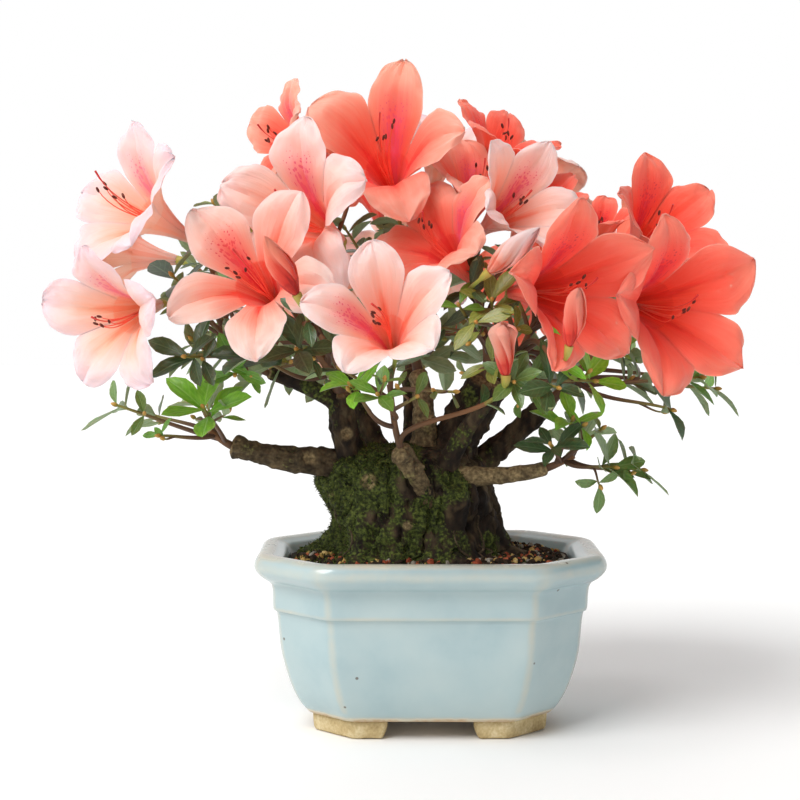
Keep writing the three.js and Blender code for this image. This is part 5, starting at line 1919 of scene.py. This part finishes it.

# The DARK sprays sit under the flowers and deep in the crown: their darker green is painted shade.
MASSES = (
    Mass("foliage_left_low", "left_low", (-87, -15, 120), 11, "leaves", (), (),
         sprays((-86.5, -42, 131.5, BRIGHT, 6, 1.15), (-92, -12, 132, OLIVE, 3, 0.8),
          (-122, -24, 131, MIDDLE, 4, 0.9), (-110, -8, 126, DARK, 3, 0.8),
          (-104, -34, 120, FRESH, 2, 0.6), (-90, 8, 128, OLIVE, 4, 0.8)),
         stem_share=0.5),
    Mass("blossom_left", "left_branch", (-76, -24, 155), 23, "pale_pink_blossom",
         (Flower((-105.6, -44, 204), -50, 26, -12, 27.5, 0.68, PALE_PINK, stamen=1.3),
          Flower((-112, -58, 167), -34, -11, -4, 25.5, 0.68, PALE_PINK),
          Flower((-120, 20, 190), -100, 8, 10, 25, 0.5, PINK)),
         (),
         sprays((-98, -38, 181, DARK, 4), (-92, -50, 151, DARK, 5),
          (-88, -8, 174, MIDDLE, 5), (-74, -44, 144, FRESH, 4, 0.8),
          (-95, -12, 150, OLIVE, 4, 0.9), (-88, 4, 188, DARK, 5),
          (-102, 2, 170, MIDDLE, 4, 0.9))),
    Mass("blossom_left_front", "left_upright", (-47, -24, 156), 37, "pale_pink_blossom",
         (Flower((-63.5, -62, 178), -16, 22, -46, 31.5, 0.46, SALMON, 0.86),
          Flower((-46.5, -43, 201.5), -34, 18, 1, 31, 0.66, PINK, bend=(0, 0, 0.6, 0.85, 0)),
          Flower((-54, 10, 233), -65, 18, 0, 24, 0.6, APRICOT, bend=(0.1, 0, 0, 0.5, 0))),
         (Bud((-48, -88, 174), (-59, -94, 195), 24, DEEP_CORAL),
          Bud((-71, -14, 199), (-81, -18, 211), 15, DEEP_CORAL)),
         sprays((-68, -52, 152, DARK, 5), (-50, -58, 154, DARK, 5, 0.9),
          (-32, -50, 158, MIDDLE, 4, 0.9), (-62, -20, 146, OLIVE, 5),
          (-84, -18, 209, OLIVE, 2, 0.6), (-50, -6, 190, DARK, 5))),
    Mass("blossom_top", "centre", (-9, 0, 174), 41, "coral_blossom",
         (Flower((-17, -10, 223), -10, 31, 14, 30, 0.88, APRICOT,
                 bend=(0, 0, 0.5, 0.66, 0.1), stamen=1.4),
          Flower((4, 42, 228), 30, 66, 0, 22, 0.7, PALE_PINK),
          Flower((26, 16, 229), 55, 56, -20, 22, 0.7, CORAL)),
         (),
         sprays((-24, 4, 180, DARK, 5), (4, 12, 176, MIDDLE), (-14, 22, 184, DARK),
          (-34, 8, 200, DARK, 5), (10, -4, 196, MIDDLE, 5), (-8, 30, 202, DARK, 5))),
    Mass("blossom_front", "front_stub", (-16, -44, 140), 53, "pale_pink_blossom",
         (Flower((-16.5, -84, 161), -9, 29, -84, 24.5, 0.95, PINK),),
         (Bud((27, -60, 144), (25, -62, 164), 20, APRICOT, 0.23, loose=0.85),),
         sprays((-30, -62, 141, BRIGHT, 5, 0.72), (-20, -70, 138, FRESH, 5, 0.66),
          (-6, -66, 137, MIDDLE, 2, 0.6), (-34, -44, 146, DARK, 4, 0.8),
          (8, -52, 138, MIDDLE, 1, 0.6)), flower_branching=(1.6, 0.05), stem_share=0.36),
    Mass("blossom_centre", "right_upright", (20, -14, 165), 67, "coral_blossom",
         (Flower((5, -35, 191), -45, 38, 35, 26, 0.5, APRICOT),
          Flower((26.5, -39, 204), 36, 25, 32, 22, 1.0, PINK),
          Flower((17, -8, 211), 30, 60, 10, 22, 0.75, APRICOT),
          Flower((43, 19, 208), 30, 58, 0, 17, 0.9, CORAL)),
         (Bud((20, -62, 182), (38, -67, 198), 25, PINK),),
         sprays((22, -54, 172, OLIVE, 6, 0.8), (10, -50, 170, FRESH, 3, 0.7),
          (2, -34, 162, DARK, 4), (16, -58, 164, OLIVE, 2, 0.7),
          (34, -8, 190, DARK, 5), (14, -26, 184, DARK, 4))),
    Mass("blossom_right_front", "right_inner", (33, -32, 151), 71, "coral_blossom",
         (Flower((42.5, -67, 175.5), 38, 2, -9, 30.6, 0.72, CORAL, 1.02, 0.88),),
         (Bud((47, -92, 156), (50, -98, 177), 22, CORAL, loose=0.3),),
         sprays((30, -58, 142, MIDDLE, 6, 0.7), (46, -60, 140, DARK, 5, 0.9),
          (60, -52, 142, BRIGHT, 5, 0.9), (38, -44, 138, MIDDLE, 3, 0.8),
          (22, -46, 148, OLIVE, 3, 0.7), (56, -40, 166, DARK, 5))),
    Mass("blossom_far_right", "right_back", (66, -6, 151), 83, "coral_blossom",
         (Flower((84.5, -37, 170), 31, 0, -12, 31.6, 0.74, CORAL, 1.06, 0.9),
          Flower((85.5, -5, 196), 34, 32, -6, 25, 0.85, CORAL, 1.04, 0.8),
          Flower((68, 13, 196), 0, 66, 20, 15, 1.0, CORAL),
          Flower((98, 22, 172), 95, 8, 0, 26, 0.5, CORAL)),
         (),
         sprays((104, -28, 142, FRESH, 5, 0.9), (112, -16, 137, BRIGHT, 3),
          (92, -34, 130, DARK, 3, 0.9), (84, -6, 138, DARK, 5),
          (102, 8, 140, MIDDLE, 5), (74, -16, 178, DARK, 5),
          (60, 6, 184, MIDDLE, 5))),
    Mass("foliage_right_low", "right_low", (56, -22, 111), 97, "leaves", (), (),
         sprays((54, -34, 126, BRIGHT, 4, 0.9), (66, -28, 122, MIDDLE, 2, 0.6),
          (46, -38, 116, DARK, 5, 0.8), (70, -36, 108, MIDDLE, 6, 0.9),
          (82, -26, 106, MIDDLE, 5, 0.8), (60, -8, 118, FRESH, 4, 0.9))),
    Mass("blossom_back_left", "back_left", (-48, 38, 160), 101, "pale_pink_blossom",
         (Flower((-65, 53, 197), -138, 20, 0, 26, 0.55, PINK),
          Flower((-50, 71, 169), -162, 2, -20, 28, 0.5, SALMON)),
         (Bud((-72, 44, 156), (-86, 54, 170), 22, PINK),),
         sprays((-74, 36, 140, FRESH), (-60, 62, 144, BRIGHT), (-40, 66, 146, MIDDLE),
          (-92, 24, 150, MIDDLE), (-44, 50, 136, DARK), (-60, 36, 188, DARK),
          (-80, 22, 178, MIDDLE), (-96, 38, 170, FRESH, 5))),
    Mass("blossom_back_centre", "back_centre", (-8, 44, 166), 113, "pale_pink_blossom",
         (Flower((-8, 82, 188), 178, 10, 15, 30, 0.5, PALE_PINK),
          Flower((-24, 52, 218), -165, 48, 0, 27, 0.65, CORAL)),
         (Bud((8, 66, 154), (14, 82, 164), 20, CORAL),),
         sprays((-20, 72, 150, BRIGHT), (8, 74, 146, MIDDLE), (-2, 60, 142, DARK),
          (-30, 52, 154, OLIVE), (14, 52, 156, MIDDLE), (-28, 42, 194, DARK),
          (2, 50, 190, MIDDLE))),
    Mass("blossom_back_right", "back_right", (44, 40, 160), 127, "coral_blossom",
         (Flower((46, 74, 176), 158, 4, 0, 30, 0.5, CORAL),
          Flower((84, 56, 188), 125, 22, -15, 27, 0.6, APRICOT),
          Flower((42, 48, 210), 150, 50, 10, 26, 0.65, SALMON)),
         (),
         sprays((66, 58, 142, FRESH), (48, 64, 140, MIDDLE), (84, 36, 146, BRIGHT),
          (60, 30, 138, DARK), (30, 62, 148, MIDDLE), (54, 42, 188, DARK),
          (72, 34, 178, MIDDLE))),
)


@dataclass(frozen=True)
class PaperSweep(Finish):
    """Matt white studio paper: even, with a tooth too fine to see."""

    white: str = "#f4f4f3"

    def sockets(self, add: Adder) -> dict:
        """Returns a plain matt white."""
        return {"Base Color": linear(self.white), "Roughness": 0.95, "Specular IOR Level": 0.1}


@dataclass
class Studio:
    """The pale floor, the soft light from the front left and above, and the photograph's camera."""

    floor_size: float = 6.0
    camera_at: Point = (-12.0, -713.0, 179.5)
    pitch: float = 3.86
    lens: float = 80.0
    sensor: float = 36.0
    bright: float = 1.0
    shade: float = 0.02
    shade_from: Point = (0.92, -0.38, 0.0)
    sun: Point = (-430.0, -520.0, 740.0)
    sun_power: float = 2.3
    sun_spread: float = 34.0

    def build(self) -> None:
        """Sets the stage."""
        self.lay_floor()
        self.hang_light()
        self.paint_world()
        scene = bpy.context.scene
        scene.view_settings.view_transform = "Standard"
        scene.cycles.use_denoising = True
        lens = bpy.data.cameras.new("photograph")
        lens.lens, lens.sensor_width, lens.clip_end = self.lens, self.sensor, 50.0
        camera = add_object("photograph", lens)
        camera.location = np.array(self.camera_at) * MM + POT_MIDDLE
        camera.rotation_euler = (math.radians(90 - self.pitch), 0, 0)
        scene.camera = camera

    def paint_world(self) -> None:
        """Surrounds the plant with white that falls off to dark high on the right."""
        world = bpy.data.worlds.new("white_studio")
        world.use_nodes = True
        world.node_tree.nodes.clear()
        add = partial(add_node, world.node_tree)
        look = add("TexCoord").outputs["Generated"]
        turned = add("VectorMath", (look, self.shade_from), operation="DOT_PRODUCT")
        rightward = add("MapRange", (turned.outputs["Value"], -0.15, 0.65))
        height = add("SeparateXYZ", (look,)).outputs["Z"]
        raised = add("MapRange", (height, 0.23, 0.36))
        screen = add("Math", (rightward, raised), operation="MULTIPLY")
        level = add("MapRange", (screen, 0.0, 1.0, self.bright, self.shade))
        sky = add("Background", {"Color": (1, 1, 1, 1), "Strength": level})
        add("OutputWorld", {"Surface": sky})
        bpy.context.scene.world = world

    def lay_floor(self) -> None:
        """Lays the floor: a square at the height of the table."""
        half = self.floor_size / 2
        mesh = bpy.data.meshes.new("pale_floor")
        corners = [(-half, -half, 0), (half, -half, 0), (half, half, 0), (-half, half, 0)]
        mesh.from_pydata(corners, [], [(0, 1, 2, 3)])
        mesh.materials.append(PaperSweep("white_studio_paper").material())
        add_object("pale_floor", mesh)

    def hang_light(self) -> None:
        """Hangs one broad, distant soft light at the front left, above the plant."""
        panel = bpy.data.lights.new("soft_key", "SUN")
        panel.energy, panel.angle = self.sun_power, math.radians(self.sun_spread)
        light = add_object("soft_key", panel)
        light.location = np.array(self.sun) * MM + POT_MIDDLE
        toward = -unit(np.array(self.sun))
        light.rotation_euler = (math.acos(-toward[2]), 0, math.atan2(-toward[0], toward[1]))


def main() -> None:
    """Builds the stage, the pot, the soil, the wood and the crown."""
    logging.basicConfig(level=logging.INFO, format="%(name)s: %(message)s")
    Studio().build()
    pot = Pot()
    pot.body()
    pot.feet()
    soil = SoilBed()
    soil.bed(pot)
    soil.litter()
    trunk = Trunk()
    trunk.build()
    boughs = {bough.name: bough for bough in BOUGHS}
    for number, bough in enumerate(BOUGHS):
        bough.build(BOUGH_SEED + BOUGH_SEED_STEP * number, trunk.bark)
    for mass in MASSES:
        mass.build(boughs[mass.bough])


if __name__ == "__main__":
    main()
